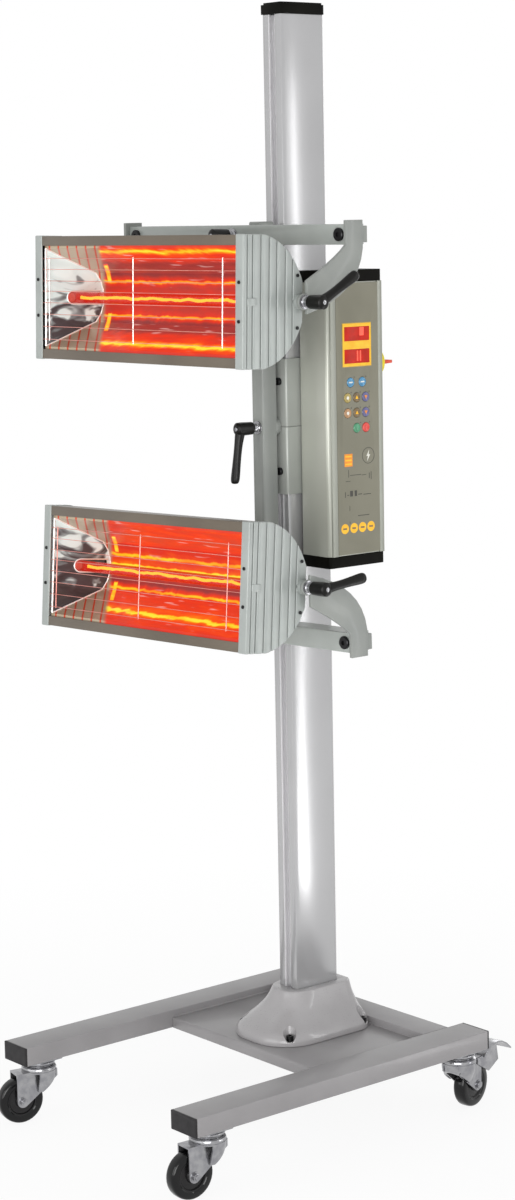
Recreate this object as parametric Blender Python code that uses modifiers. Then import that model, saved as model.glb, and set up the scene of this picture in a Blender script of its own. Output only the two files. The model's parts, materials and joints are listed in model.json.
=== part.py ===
# Infrared paint curing lamp: two cassettes on a turning boom, a control box and a column on four casters.
# Metres, +Z up. The cassettes face -Y, the control panel faces +X.
# Sizes are given round the column's axis; the last step moves the lamp so that its footprint is centred.

import math

import bmesh
import bpy
from mathutils import Matrix, Vector

# Driving sizes of the whole lamp
overall_height = 1.770
base_width = 0.498
leg_length = 0.599
foot_to_cross_tube = 0.004

# Clearances
touch_gap = 0.0003
slide_gap = 0.0005
bore_gap = 0.0006
overrun = 0.004
weld_distance = 0.00001

# Base frame
leg_width = 0.060
leg_height = 0.030
tube_wall = 0.002
leg_clearance = 0.103
cross_tube_width = 0.055
cross_tube_setback = 0.031
tray_thickness = 0.003
tray_sink = 0.012
tray_front_reach = 0.139
tray_bend_radius = 0.004

# Column foot
foot_half_width = 0.080
foot_front_reach = 0.125
foot_rear_reach = 0.076
foot_edge_height = 0.006
foot_height = 0.075
collar_half_width = 0.035
collar_half_length = 0.059
collar_height = 0.015
collar_lip = 0.003
foot_bolt_half_spread = 0.058
foot_bolt_front = 0.090
foot_bolt_rear = 0.050
foot_bolt_recess_radius = 0.012
foot_bolt_seat_height = 0.009

# Column and its cap
column_front_width = 0.042
column_width = 0.048
column_depth = 0.086
column_curved_length = 0.037
column_rear_radius = 0.004
column_wall = 0.003
slot_mouth = 0.014
slot_lip = 0.004
slot_width = 0.026
slot_depth = 0.012
column_cap_height = 0.018
column_cap_overhang = 0.002
column_cap_plug_length = 0.020
column_cap_rounding = 0.003
column_cap_rim_angle = 60.0

# Carriage
carriage_height_above_floor = 1.1145
carriage_length = 0.214
carriage_wall = 0.0035
carriage_front_wall = 0.004
carriage_rear_reach = 0.030
shoe_length = 0.160
shoe_pad_thickness = 0.0022
shoe_head_thickness = 0.006

# Control box
box_width = 0.0675
box_depth = 0.116
box_height = 0.466
box_rise = 0.0105
box_front_setback = 0.0195
box_wall = 0.0025
box_corner_radius = 0.006
box_cap_height = 0.018
box_cap_overhang = 0.0008
box_cap_plug_length = 0.012
panel_width = 0.092
panel_end_gap = 0.002
panel_thickness = 0.0015
panel_setback = 0.006
panel_aperture_margin = 0.010
panel_aperture_length = 0.215
panel_aperture_top = 0.050
display_width = 0.048
display_height = 0.021
display_pitch = 0.035
display_drop = 0.079
display_setback = 0.0435
display_block_gap = 0.0005
board_thickness = 0.0016
board_setback = 0.0040
board_width = 0.066
board_length = 0.200
board_drop = 0.055
post_radius = 0.003
key_radius = 0.0075
key_flange = 0.0013
key_flange_thickness = 0.001
key_proud = 0.0006
key_first_setback = 0.0225
key_column_pitch = 0.019
key_column_shares = ((0.35, 1.65), (0.0, 1.0, 2.0), (0.0, 1.0, 2.0), (1.0, 2.0))
key_row_pitch = 0.024
key_first_drop = 0.155
switch_drop = 0.130
switch_radius = 0.020
switch_plate_depth = 0.0165
switch_spindle_radius = 0.004
knob_disc_radius = 0.014
knob_disc_depth = 0.003
knob_grip_length = 0.034
knob_grip_width = 0.007
knob_grip_depth = 0.020

# Boom
boom_width = 0.028
boom_depth = 0.029
boom_rise = 0.3205
boom_fall = 0.3285
boom_rounding = 0.002
boss_radius = 0.0155
boss_length = 0.0067

# Yokes
upper_yoke_rise = 0.3005
lower_yoke_fall = 0.315
lower_yoke_turn = -1.5
crossbar_height = 0.030
crossbar_depth = 0.039
crossbar_wall = 0.0025
crossbar_washer = 0.003
arm_gap = 0.007
arm_thickness = 0.006
arm_width = 0.033
arm_front_proud = 0.008
arm_overrise = 0.006
arm_drop = 0.095
arm_eye_radius = 0.012
arm_tab_length = 0.034
arm_tip_half_height = 0.024
arm_tip_setback = 0.005

# Cassettes
cassette_length = 0.516
cassette_half_height = 0.0965
cassette_depth = 0.112
pivot_to_rear = 0.007
pivot_to_column = 0.218
upper_tilt = -1.8
lower_tilt = -5.0
end_cap_depth = 0.0155
rear_flat_half_height = 0.030
curve_start_share = 0.36
curve_depth_share = 0.19
curve_drop_share = 0.12
lug_radius = 0.011
rib_groove_count = 7
rib_groove_width = 0.003
rib_groove_depth = 0.0018
rib_groove_pitch = 0.0145
rib_groove_start = 0.0075
housing_inset = 0.001
housing_wall = 0.002
housing_lip = 0.015
reflector_sheet = 0.0008
reflector_mouth_half_height = 0.077
reflector_depth = 0.096
reflector_end_slant = 0.024
reflector_end_gap = 0.002
tube_radius = 0.006
tube_setback = 0.052
tube_passage_radius = 0.009
ceramic_radius = 0.0075
ceramic_length = 0.018
ceramic_seat = 0.0075
wire_radius = 0.00125
wire_weld = 0.0006
wire_count = 8
wire_pitch = 0.018
upright_wire_share = 0.89
upright_wire_overlap = 0.003

# Clamp levers
lever_height = 0.0445
lever_stud_radius = 0.005
lever_washer_radius = 0.0105
lever_washer_thickness = 0.002
lever_collar_radius = 0.0065
lever_hub_start = 0.012
lever_hub_radius = 0.010
lever_handle_length = 0.085
tilt_lever_handle_length = 0.072
lever_handle_radius = 0.0055
lever_handle_slant = 8.0
lever_dome = 0.004
upper_tilt_lever_angle = 33.0
lower_tilt_lever_angle = 9.0

# Casters
caster_front_setback = 0.042
caster_rear_setback = 0.036
caster_plate_length = 0.064
caster_plate_width = 0.052
caster_plate_thickness = 0.003
caster_cup_radius = 0.022
caster_cup_height = 0.008
crown_radius = 0.0285
crown_height = 0.008
wheel_radius = 0.0375
wheel_width = 0.021
wheel_hub_width = 0.0240
wheel_hub_radius = 0.011
wheel_groove = 0.003
axle_radius = 0.004
caster_trail = 0.0345
fork_thickness = 0.0025
fork_front_overhang = 0.010
fork_rear_reach = 0.026
fork_end_radius = 0.011
caster_turns = {"front_left": -12.0, "front_right": -3.0, "rear_left": 193.0, "rear_right": 193.0}
pedal_pin_rise = 0.0405
pedal_pin_radius = 0.0023
pedal_reach = 0.127
pedal_width = 0.042
pedal_thickness = 0.0025
pedal_arch = 0.032
pedal_tip_drop = 0.007
pedal_cheek_reach = 0.0575
pedal_cheek_drop = 0.025

# Facets
fine_steps = 20
coarse_steps = 12
bend_steps = 6
foot_ring_steps = 32
handle_sides = 8

# Heights and places that follow from the sizes above
leg_bottom = leg_clearance
leg_top = leg_bottom + leg_height
cross_front = foot_rear_reach + foot_to_cross_tube
cross_rear = cross_front + cross_tube_width
leg_rear = cross_rear + cross_tube_setback
leg_front = leg_rear - leg_length
leg_inside = base_width / 2 - leg_width
leg_middle = base_width / 2 - leg_width / 2
tray_top = leg_top - tray_sink
foot_bottom = tray_top + touch_gap
column_bottom = tray_top + touch_gap
column_top = overall_height - column_cap_height
column_front = -column_depth / 2
column_rear = column_depth / 2
carriage_front = column_front - touch_gap - shoe_pad_thickness - touch_gap - carriage_front_wall
carriage_side = column_width / 2 + slide_gap + carriage_wall
boom_rear = carriage_front - touch_gap - boss_length
boom_front = boom_rear - boom_depth
crossbar_rear = boom_front - crossbar_washer
crossbar_front = crossbar_rear - crossbar_depth
upper_yoke_height = carriage_height_above_floor + upper_yoke_rise
lower_yoke_height = carriage_height_above_floor - lower_yoke_fall
pivot_y = -pivot_to_column
upper_pivot_height = upper_yoke_height - arm_drop
lower_pivot_height = lower_yoke_height + arm_drop
cassette_end = cassette_length / 2
arm_inside = cassette_end + arm_gap
arm_outside = arm_inside + arm_thickness
arm_front = crossbar_front - arm_front_proud
arm_rear = arm_front + arm_width
cassette_front = pivot_to_rear - cassette_depth
lip_back = cassette_front + housing_inset + housing_wall
box_inside = carriage_side + touch_gap
box_outside = box_inside + box_width
box_front = column_front + box_front_setback
box_rear = box_front + box_depth
box_top = carriage_height_above_floor + box_rise + box_height / 2
box_bottom = box_top - box_height
panel_rear = box_rear - panel_setback
panel_front = panel_rear - panel_width
panel_top = box_top - box_cap_height - panel_end_gap
panel_length = box_height - (box_cap_height + panel_end_gap) * 2
panel_back = box_outside + touch_gap
switch_height = box_top - switch_drop - box_cap_height
switch_x = (box_inside + box_outside) / 2
lever_hole_radius = lever_stud_radius + bore_gap
front_caster_y = leg_front + caster_front_setback
rear_caster_y = leg_rear - caster_rear_setback
crown_top = leg_bottom - caster_plate_thickness - caster_cup_height - touch_gap
fork_top = crown_top - crown_height
fork_inside = wheel_hub_width / 2 + touch_gap
pedal_pin_height = wheel_radius + pedal_pin_rise

for old in list(bpy.data.objects):
    bpy.data.objects.remove(old)

parts = bpy.data.collections.new("infrared_curing_lamp")
cutters = bpy.data.collections.new("cutters")
for collection in (parts, cutters):
    bpy.context.scene.collection.children.link(collection)


# Finishes

def finish(name, colour, roughness, metallic):
    made = bpy.data.materials.new(name)
    made.use_nodes = True
    shader = made.node_tree.nodes["Principled BSDF"]
    shader.inputs["Base Color"].default_value = (*colour, 1.0)
    shader.inputs["Roughness"].default_value = roughness
    shader.inputs["Metallic"].default_value = metallic
    made.diffuse_color = (*colour, 1.0)
    return made


finishes = {
    "grey_paint": ((0.30, 0.30, 0.31), 0.45, 0.0),
    "aluminium": ((0.62, 0.62, 0.63), 0.35, 0.9),
    "cast_grey": ((0.38, 0.41, 0.40), 0.45, 0.2),
    "champagne": ((0.26, 0.24, 0.20), 0.40, 0.6),
    "mirror": ((0.85, 0.85, 0.85), 0.08, 1.0),
    "quartz": ((0.70, 0.03, 0.01), 0.10, 0.0),
    "steel": ((0.60, 0.60, 0.60), 0.30, 1.0),
    "black_plastic": ((0.02, 0.02, 0.02), 0.45, 0.0),
    "rubber": ((0.03, 0.03, 0.03), 0.60, 0.0),
    "panel": ((0.28, 0.27, 0.22), 0.50, 0.0),
    "board": ((0.05, 0.20, 0.10), 0.50, 0.0),
    "yellow": ((0.80, 0.60, 0.02), 0.40, 0.0),
    "red": ((0.60, 0.04, 0.02), 0.40, 0.0),
    "key": ((0.20, 0.30, 0.40), 0.40, 0.0),
}


# Bodies: an empty on each joint's axis, which carries the pieces that move with it.
# Each place is given with all bodies level and unturned; a turn then carries what hangs on the body along.

bodies = {}


def body(name, parent, place, turn=(0.0, 0.0, 0.0)):
    pivot = bpy.data.objects.new(name, None)
    parts.objects.link(pivot)
    pivot.empty_display_size = touch_gap
    pivot.rotation_euler = [math.radians(angle) for angle in turn]
    pivot.location = place
    if parent:
        carrier, carrier_place = bodies[parent]
        pivot.parent = carrier
        pivot.location = Vector(place) - carrier_place
    bodies[name] = (pivot, Vector(place))


# Making pieces: each mesh is modelled in its body's own level frame

def add_piece(name, mesh, body_name, finish_name, smooth=True):
    piece = bpy.data.objects.new(name, mesh)
    parts.objects.link(piece)
    piece.parent = bodies[body_name][0]
    mesh.materials.clear()
    mesh.materials.append(finish(name, *finishes[finish_name]))
    if smooth:
        mesh.shade_smooth()
        mesh.set_sharp_from_angle(angle=math.radians(35))
    return piece


def box_mesh(low, high, rounding=0.0, steps=1):
    shape = bmesh.new()
    bmesh.ops.create_cube(shape, size=1.0)
    size = Vector(high) - Vector(low)
    middle = (Vector(high) + Vector(low)) / 2
    place = Matrix.Translation(middle) @ Matrix.Diagonal((*size, 1.0))
    bmesh.ops.transform(shape, matrix=place, verts=shape.verts)
    if rounding > 0.0:
        bmesh.ops.bevel(shape, geom=shape.edges[:], offset=rounding, segments=steps, affect="EDGES")
    mesh = bpy.data.meshes.new("box")
    shape.to_mesh(mesh)
    shape.free()
    return mesh


turn_to_axis = {
    "X": Matrix.Rotation(math.radians(90), 4, "Y"),
    "Y": Matrix.Rotation(math.radians(-90), 4, "X"),
    "Z": Matrix.Identity(4),
    "-Y": Matrix.Rotation(math.radians(90), 4, "X"),
}


def rod_mesh(centre, radius, length, axis, steps=coarse_steps):
    shape = bmesh.new()
    bmesh.ops.create_cone(shape, cap_ends=True, segments=steps, radius1=radius, radius2=radius, depth=length)
    place = Matrix.Translation(Vector(centre)) @ turn_to_axis[axis]
    bmesh.ops.transform(shape, matrix=place, verts=shape.verts)
    mesh = bpy.data.meshes.new("rod")
    shape.to_mesh(mesh)
    shape.free()
    return mesh


# A flat outline in its own X and Y, extruded along Z, then turned: facing X puts it in the YZ plane
plate_turns = {
    "X": Matrix(((0, 0, 1, 0), (1, 0, 0, 0), (0, 1, 0, 0), (0, 0, 0, 1))),
    "Y": Matrix(((1, 0, 0, 0), (0, 0, -1, 0), (0, 1, 0, 0), (0, 0, 0, 1))),
    "Z": Matrix.Identity(4),
}


def solid_from_curve(curve):
    holder = bpy.data.objects.new("outline", curve)
    bpy.context.scene.collection.objects.link(holder)
    evaluated = holder.evaluated_get(bpy.context.evaluated_depsgraph_get())
    mesh = bpy.data.meshes.new_from_object(evaluated)
    bpy.data.objects.remove(holder)
    shape = bmesh.new()
    shape.from_mesh(mesh)
    bmesh.ops.remove_doubles(shape, verts=shape.verts, dist=weld_distance)
    bmesh.ops.recalc_face_normals(shape, faces=shape.faces)
    shape.to_mesh(mesh)
    shape.free()
    return mesh


def plate_mesh(outlines, low, high, facing):
    curve = bpy.data.curves.new("outline", "CURVE")
    curve.dimensions = "2D"
    curve.fill_mode = "BOTH"
    curve.extrude = (high - low) / 2
    for points in outlines:
        spline = curve.splines.new("POLY")
        spline.points.add(len(points) - 1)
        for knot, (across, up) in zip(spline.points, points):
            knot.co = (across, up, 0.0, 1.0)
        spline.use_cyclic_u = True
    mesh = solid_from_curve(curve)
    mesh.transform(plate_turns[facing] @ Matrix.Translation((0.0, 0.0, (low + high) / 2)))
    return mesh


def wire_mesh(points, radius):
    curve = bpy.data.curves.new("wire", "CURVE")
    curve.dimensions = "3D"
    curve.bevel_depth = radius
    curve.bevel_resolution = 2
    curve.use_fill_caps = True
    spline = curve.splines.new("POLY")
    spline.points.add(len(points) - 1)
    for knot, point in zip(spline.points, points):
        knot.co = (*point, 1.0)
    return solid_from_curve(curve)


def turned_mesh(profile, steps, closed=False):
    shape = bmesh.new()
    knots = [shape.verts.new((radius, 0.0, height)) for radius, height in profile]
    for first, second in zip(knots, knots[1:]):
        shape.edges.new((first, second))
    if closed:
        shape.edges.new((knots[-1], knots[0]))
    mesh = bpy.data.meshes.new("turned")
    shape.to_mesh(mesh)
    shape.free()
    holder = bpy.data.objects.new("turned", mesh)
    bpy.context.scene.collection.objects.link(holder)
    screw = holder.modifiers.new("turn", "SCREW")
    screw.steps = steps
    screw.render_steps = steps
    screw.use_merge_vertices = True
    screw.merge_threshold = weld_distance
    evaluated = holder.evaluated_get(bpy.context.evaluated_depsgraph_get())
    solid = bpy.data.meshes.new_from_object(evaluated)
    bpy.data.objects.remove(holder)
    return solid


def moved(mesh, offset):
    copy = mesh.copy()
    copy.transform(Matrix.Translation(Vector(offset)))
    return copy


def turned_by(mesh, matrix):
    copy = mesh.copy()
    copy.transform(matrix)
    if matrix.determinant() < 0.0:
        copy.flip_normals()
    return copy


def combined(mesh, tools, operation):
    base = bpy.data.objects.new("work", mesh)
    bpy.context.scene.collection.objects.link(base)
    helpers = []
    for tool_mesh in tools:
        tool = bpy.data.objects.new("cutter", tool_mesh)
        cutters.objects.link(tool)
        tool.hide_render = True
        tool.display_type = "WIRE"
        helpers.append(tool)
        step = base.modifiers.new("combine", "BOOLEAN")
        step.operation = operation
        step.object = tool
        step.solver = "EXACT"
    evaluated = base.evaluated_get(bpy.context.evaluated_depsgraph_get())
    solid = bpy.data.meshes.new_from_object(evaluated)
    for helper in helpers + [base]:
        bpy.data.objects.remove(helper)
    shape = bmesh.new()
    shape.from_mesh(solid)
    bmesh.ops.remove_doubles(shape, verts=shape.verts, dist=weld_distance)
    shape.to_mesh(solid)
    shape.free()
    return solid


def cut(mesh, *tools):
    return combined(mesh, tools, "DIFFERENCE")


def fused(mesh, *tools):
    return combined(mesh, tools, "UNION")


# Outline helpers

def bend(start, control, end, steps=bend_steps):
    points = []
    for index in range(steps + 1):
        t = index / steps
        points.append(tuple(a * (1 - t) ** 2 + b * 2 * t * (1 - t) + c * t ** 2
                            for a, b, c in zip(start, control, end)))
    return points


def arc(centre, radius, start, end, steps=bend_steps):
    points = []
    for index in range(steps + 1):
        angle = math.radians(start + (end - start) * index / steps)
        points.append((centre[0] + radius * math.cos(angle), centre[1] + radius * math.sin(angle)))
    return points


def rounded_rectangle(low, high, radius, steps=3):
    corners = ((high[0] - radius, high[1] - radius, 0), (low[0] + radius, high[1] - radius, 90),
               (low[0] + radius, low[1] + radius, 180), (high[0] - radius, low[1] + radius, 270))
    points = []
    for across, up, start in corners:
        points += arc((across, up), radius, start, start + 90, steps)
    return points


def rectangle(low, high):
    return [(low[0], low[1]), (high[0], low[1]), (high[0], high[1]), (low[0], high[1])]


# Base frame: legs with the casters' bearing plates, cross tube and tray

def make_base():
    for side_name, side in (("left", -1), ("right", 1)):
        middle = side * leg_middle
        outer = rectangle((middle - leg_width / 2, leg_bottom), (middle + leg_width / 2, leg_top))
        inner = rectangle((middle - leg_width / 2 + tube_wall, leg_bottom + tube_wall),
                          (middle + leg_width / 2 - tube_wall, leg_top - tube_wall))
        leg = plate_mesh((outer, inner), -leg_rear, -leg_front, "Y")
        for along in (front_caster_y, rear_caster_y):
            bottom = leg_bottom - caster_plate_thickness
            top = leg_bottom + tube_wall / 2
            plate = box_mesh((middle - caster_plate_width / 2, along - caster_plate_length / 2, bottom),
                             (middle + caster_plate_width / 2, along + caster_plate_length / 2, top))
            cup_bottom = bottom - caster_cup_height
            cup_top = bottom + caster_plate_thickness / 2
            cup = rod_mesh((middle, along, (cup_bottom + cup_top) / 2), caster_cup_radius,
                           cup_top - cup_bottom, "Z", fine_steps)
            leg = fused(leg, plate, cup)
        add_piece(side_name + "_leg", leg, "base", "grey_paint")

    outer = rectangle((cross_front, leg_bottom), (cross_rear, leg_top))
    inner = rectangle((cross_front + tube_wall, leg_bottom + tube_wall),
                      (cross_rear - tube_wall, leg_top - tube_wall))
    half_span = leg_inside - touch_gap
    cross_tube = plate_mesh((outer, inner), -half_span, half_span, "X")
    add_piece("rear_cross_tube", cross_tube, "base", "grey_paint", smooth=False)

    front = -tray_front_reach
    bend_centre = (front + tray_bend_radius, tray_top - tray_bend_radius)
    outside = arc(bend_centre, tray_bend_radius, 90, 180, 4)
    inside = arc(bend_centre, tray_bend_radius - tray_thickness, 180, 90, 4)
    tray_rear = cross_front - touch_gap
    section = [(tray_rear, tray_top)] + outside + [(front, leg_bottom), (front + tray_thickness, leg_bottom)]
    section += inside + [(tray_rear, tray_top - tray_thickness)]
    add_piece("base_tray", plate_mesh((section,), -half_span, half_span, "X"), "base", "grey_paint")


# Column section, drawn round its axis, with the T-slot in the front face

def column_outline(grow=0.0, slotted=True):
    front_half = column_front_width / 2 + grow
    half = column_width / 2 + grow
    front = column_front - grow
    rear = column_rear + grow
    radius = column_rear_radius + grow
    side = bend((front_half, front), (half, front + column_curved_length / 2),
                (half, front + column_curved_length), 5)
    corner = arc((half - radius, rear - radius), radius, 0, 90, 3)
    right = side + corner
    left = [(-across, up) for across, up in reversed(right)]
    outline = right + left
    if slotted:
        mouth = slot_mouth / 2
        wide = slot_width / 2
        lip = column_front + slot_lip
        floor = column_front + slot_depth
        outline += [(-mouth, front), (-mouth, lip), (-wide, lip), (-wide, floor),
                    (wide, floor), (wide, lip), (mouth, lip), (mouth, front)]
    return outline


def chamber_outline(shrink=0.0):
    half = column_front_width / 2 - column_wall - shrink
    return rounded_rectangle((-half, column_front + slot_depth + column_wall + shrink),
                             (half, column_rear - column_wall - shrink), column_rear_radius - shrink)


def make_column():
    shaft = plate_mesh((column_outline(), chamber_outline()), column_bottom, column_top, "Z")
    add_piece("column", shaft, "base", "aluminium")
    seat = column_top + touch_gap
    lid = plate_mesh((column_outline(column_cap_overhang, False),), seat, overall_height, "Z")
    trim = bmesh.new()
    trim.from_mesh(lid)
    rim = [edge for edge in trim.edges if all(v.co.z > overall_height - touch_gap for v in edge.verts)
           and len(edge.link_faces) == 2 and edge.calc_face_angle(0.0) > math.radians(column_cap_rim_angle)]
    bmesh.ops.bevel(trim, geom=rim, offset=column_cap_rounding, segments=2, affect="EDGES")
    trim.to_mesh(lid)
    trim.free()
    plug = plate_mesh((chamber_outline(touch_gap),), column_top - column_cap_plug_length,
                      seat + column_cap_height / 2, "Z")
    add_piece("column_top_cap", fused(lid, plug), "base", "black_plastic")


# Cast foot: rings of a rounded section, from a wide plate to a collar round the column

def foot_ring(half_width, front, rear, height, squareness, count=foot_ring_steps):
    middle = (rear - front) / 2
    half_length = (front + rear) / 2
    points = []
    for index in range(count):
        angle = 2 * math.pi * index / count
        c = math.cos(angle)
        s = math.sin(angle)
        across = math.copysign(abs(c) ** (2 / squareness), c) * half_width
        along = math.copysign(abs(s) ** (2 / squareness), s) * half_length + middle
        points.append((across, along, height))
    return points


def make_foot():
    shape = bmesh.new()
    top = foot_bottom + foot_height
    flare = foot_height - collar_height
    flare_shares = ((1.0, 0.0, 2.6), (0.72, 0.22, 2.7), (0.40, 0.46, 2.9), (0.14, 0.76, 3.3), (0.0, 1.0, 3.6))
    rings = [foot_ring(foot_half_width, foot_front_reach, foot_rear_reach, foot_bottom, 2.6)]
    for width_share, rise_share, squareness in flare_shares:
        rings.append(foot_ring(
            collar_half_width + (foot_half_width - collar_half_width) * width_share,
            collar_half_length + (foot_front_reach - collar_half_length) * width_share,
            collar_half_length + (foot_rear_reach - collar_half_length) * width_share,
            foot_bottom + foot_edge_height + (flare - foot_edge_height) * rise_share, squareness))
    rings.append(foot_ring(collar_half_width, collar_half_length, collar_half_length, top - collar_lip, 3.6))
    rings.append(foot_ring(collar_half_width - collar_lip, collar_half_length - collar_lip,
                           collar_half_length - collar_lip, top, 3.6))
    layers = [[shape.verts.new(point) for point in ring] for ring in rings]
    for lower, upper in zip(layers, layers[1:]):
        for index in range(len(lower)):
            after = (index + 1) % len(lower)
            shape.faces.new((lower[index], lower[after], upper[after], upper[index]))
    shape.faces.new(list(reversed(layers[0])))
    shape.faces.new(layers[-1])
    mesh = bpy.data.meshes.new("foot")
    shape.to_mesh(mesh)
    shape.free()
    tools = [plate_mesh((column_outline(touch_gap, False),), foot_bottom - overrun, top + overrun, "Z")]
    seat = foot_bottom + foot_bolt_seat_height
    for across in (-foot_bolt_half_spread, foot_bolt_half_spread):
        for along in (-foot_bolt_front, foot_bolt_rear):
            tools.append(rod_mesh((across, along, (seat + top) / 2), foot_bolt_recess_radius,
                                  top - seat, "Z"))
    add_piece("column_foot", cut(mesh, *tools), "base", "cast_grey")


# Casters: turning fork, wheel, and a brake pedal on the rear pair; the bearing plates are welded to the legs

def fork_leg_outline():
    axle = (-caster_trail, wheel_radius)
    front = -caster_trail - fork_front_overhang
    bottom = arc(axle, fork_end_radius, 200, 330, 6)
    return ([(front, fork_top)] + [(front, wheel_radius + fork_end_radius / 2)] + bottom
            + [(fork_rear_reach, fork_top - crown_height), (fork_rear_reach, fork_top)])


def fork_mesh():
    top = crown_top - touch_gap
    crown = rod_mesh((0.0, 0.0, (top + fork_top - fork_thickness) / 2), crown_radius,
                     top - fork_top + fork_thickness, "Z", fine_steps)
    pieces = []
    for side in (-1, 1):
        edges = sorted((side * fork_inside, side * (fork_inside + fork_thickness)))
        leg = plate_mesh((fork_leg_outline(),), edges[0], edges[1], "X")
        hole = rod_mesh((side * fork_inside, -caster_trail, pedal_pin_height), pedal_pin_radius + bore_gap,
                        overrun * 3, "X")
        pieces.append(cut(leg, hole))
    width = fork_inside + fork_thickness / 2
    roof = box_mesh((-width, -caster_trail - fork_front_overhang, fork_top - fork_thickness),
                    (width, fork_rear_reach, fork_top))
    axle_length = (fork_inside + fork_thickness * 2) * 2
    axle = rod_mesh((0.0, -caster_trail, wheel_radius), axle_radius, axle_length, "X")
    return fused(crown, roof, *pieces, axle)


def wheel_mesh():
    bore = axle_radius + bore_gap
    half = wheel_width / 2
    hub_half = wheel_hub_width / 2
    web_half = half - wheel_groove
    rim = wheel_radius - wheel_groove * 2
    profile = ((bore, hub_half), (wheel_hub_radius, hub_half), (wheel_hub_radius, web_half), (rim, web_half),
               (rim, half), (wheel_radius - wheel_groove, half), (wheel_radius, half - wheel_groove))
    lower = [(radius, -height) for radius, height in reversed(profile)]
    mesh = turned_mesh(list(profile) + lower, fine_steps, closed=True)
    mesh.transform(turn_to_axis["X"])
    return mesh


# Brake pedal round its pin: a pair of cheeks beside the fork and a blade that reaches out behind the wheel

def pedal_mesh():
    inside = fork_inside + fork_thickness + touch_gap
    pin = rod_mesh((0.0, 0.0, 0.0), pedal_pin_radius, (inside + pedal_thickness / 2) * 2, "X")
    start = -fork_front_overhang - bore_gap
    top = fork_top - pedal_pin_height
    tip = caster_trail - pedal_reach
    upper = bend((start, top), ((start + tip) / 2, top + pedal_arch), (tip, top - pedal_tip_drop))
    lower = [(along, up - pedal_thickness) for along, up in reversed(upper)]
    blade = plate_mesh((upper + lower,), -pedal_width / 2, pedal_width / 2, "X")
    cheeks = []
    back = pedal_pin_radius * 2
    under_blade = [(along, up - pedal_thickness / 2) for along, up in upper if along > -pedal_cheek_reach]
    cheek = [(back, back)] + under_blade + [(-pedal_cheek_reach, -pedal_cheek_drop / 2),
                                            (-pedal_cheek_reach / 2, -pedal_cheek_drop), (back, -back)]
    for side in (-1, 1):
        edges = sorted((side * inside, side * (inside + pedal_thickness)))
        cheeks.append(plate_mesh((cheek,), edges[0], edges[1], "X"))
    return fused(blade, *cheeks, pin)


def make_casters():
    fork = fork_mesh()
    wheel = wheel_mesh()
    pedal = pedal_mesh()
    for end, along in (("front", front_caster_y), ("rear", rear_caster_y)):
        for side_name, side in (("left", -1), ("right", 1)):
            label = end + "_" + side_name
            across = side * leg_middle
            body(label + "_swivel", "base", (across, along, 0.0), (0.0, 0.0, caster_turns[label]))
            add_piece(label + "_fork", fork.copy(), label + "_swivel", "steel")
            body(label + "_wheel_turn", label + "_swivel", (across, along - caster_trail, wheel_radius))
            add_piece(label + "_wheel", wheel.copy(), label + "_wheel_turn", "rubber")
            if end == "rear":
                body(label + "_brake", label + "_swivel", (across, along - caster_trail, pedal_pin_height))
                add_piece(label + "_brake_pedal", pedal.copy(), label + "_brake", "steel")


# Carriage: a sleeve open at the back, and a shoe that slides in the slot and takes the boom's clamp stud

def make_carriage():
    half = carriage_length / 2
    inner = column_width / 2 + slide_gap
    front_inner = carriage_front + carriage_front_wall
    corner = carriage_wall - touch_gap
    outer_edge = arc((carriage_side - corner, carriage_front + corner), corner, -90, 0, 4)
    right = outer_edge + [(carriage_side, carriage_rear_reach), (inner, carriage_rear_reach),
                          (inner, front_inner)]
    outline = right + [(-across, up) for across, up in reversed(right)]
    sleeve = plate_mesh((outline,), -half, half, "Z")
    hole = rod_mesh((0.0, carriage_front, 0.0), lever_hole_radius, carriage_front_wall * 3, "Y")
    add_piece("carriage", cut(sleeve, hole), "carriage_slide", "aluminium")

    pad_rear = column_front - touch_gap
    pad_front = pad_rear - shoe_pad_thickness
    head_front = column_front + slot_lip + touch_gap
    head_rear = head_front + shoe_head_thickness
    pad_half = column_front_width / 2 - touch_gap
    neck_half = slot_mouth / 2 - slide_gap
    head_half = slot_width / 2 - slide_gap
    end = shoe_length / 2
    pad = box_mesh((-pad_half, pad_front, -end), (pad_half, pad_rear, end))
    neck = box_mesh((-neck_half, (pad_front + pad_rear) / 2, -end),
                    (neck_half, (head_front + head_rear) / 2, end))
    head = box_mesh((-head_half, head_front, -end), (head_half, head_rear, end))
    shoe = fused(pad, neck, head)
    bore = rod_mesh((0.0, column_front, 0.0), lever_hole_radius, slot_depth * 3, "Y")
    add_piece("slide_shoe", cut(shoe, bore), "carriage_slide", "black_plastic", smooth=False)


# Control box, modelled round the carriage's height

def key_places():
    places = []
    for row, columns in enumerate(key_column_shares):
        for share in columns:
            along = panel_front + key_first_setback + share * key_column_pitch
            places.append((along, panel_top - key_first_drop - row * key_row_pitch))
    return places


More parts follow.
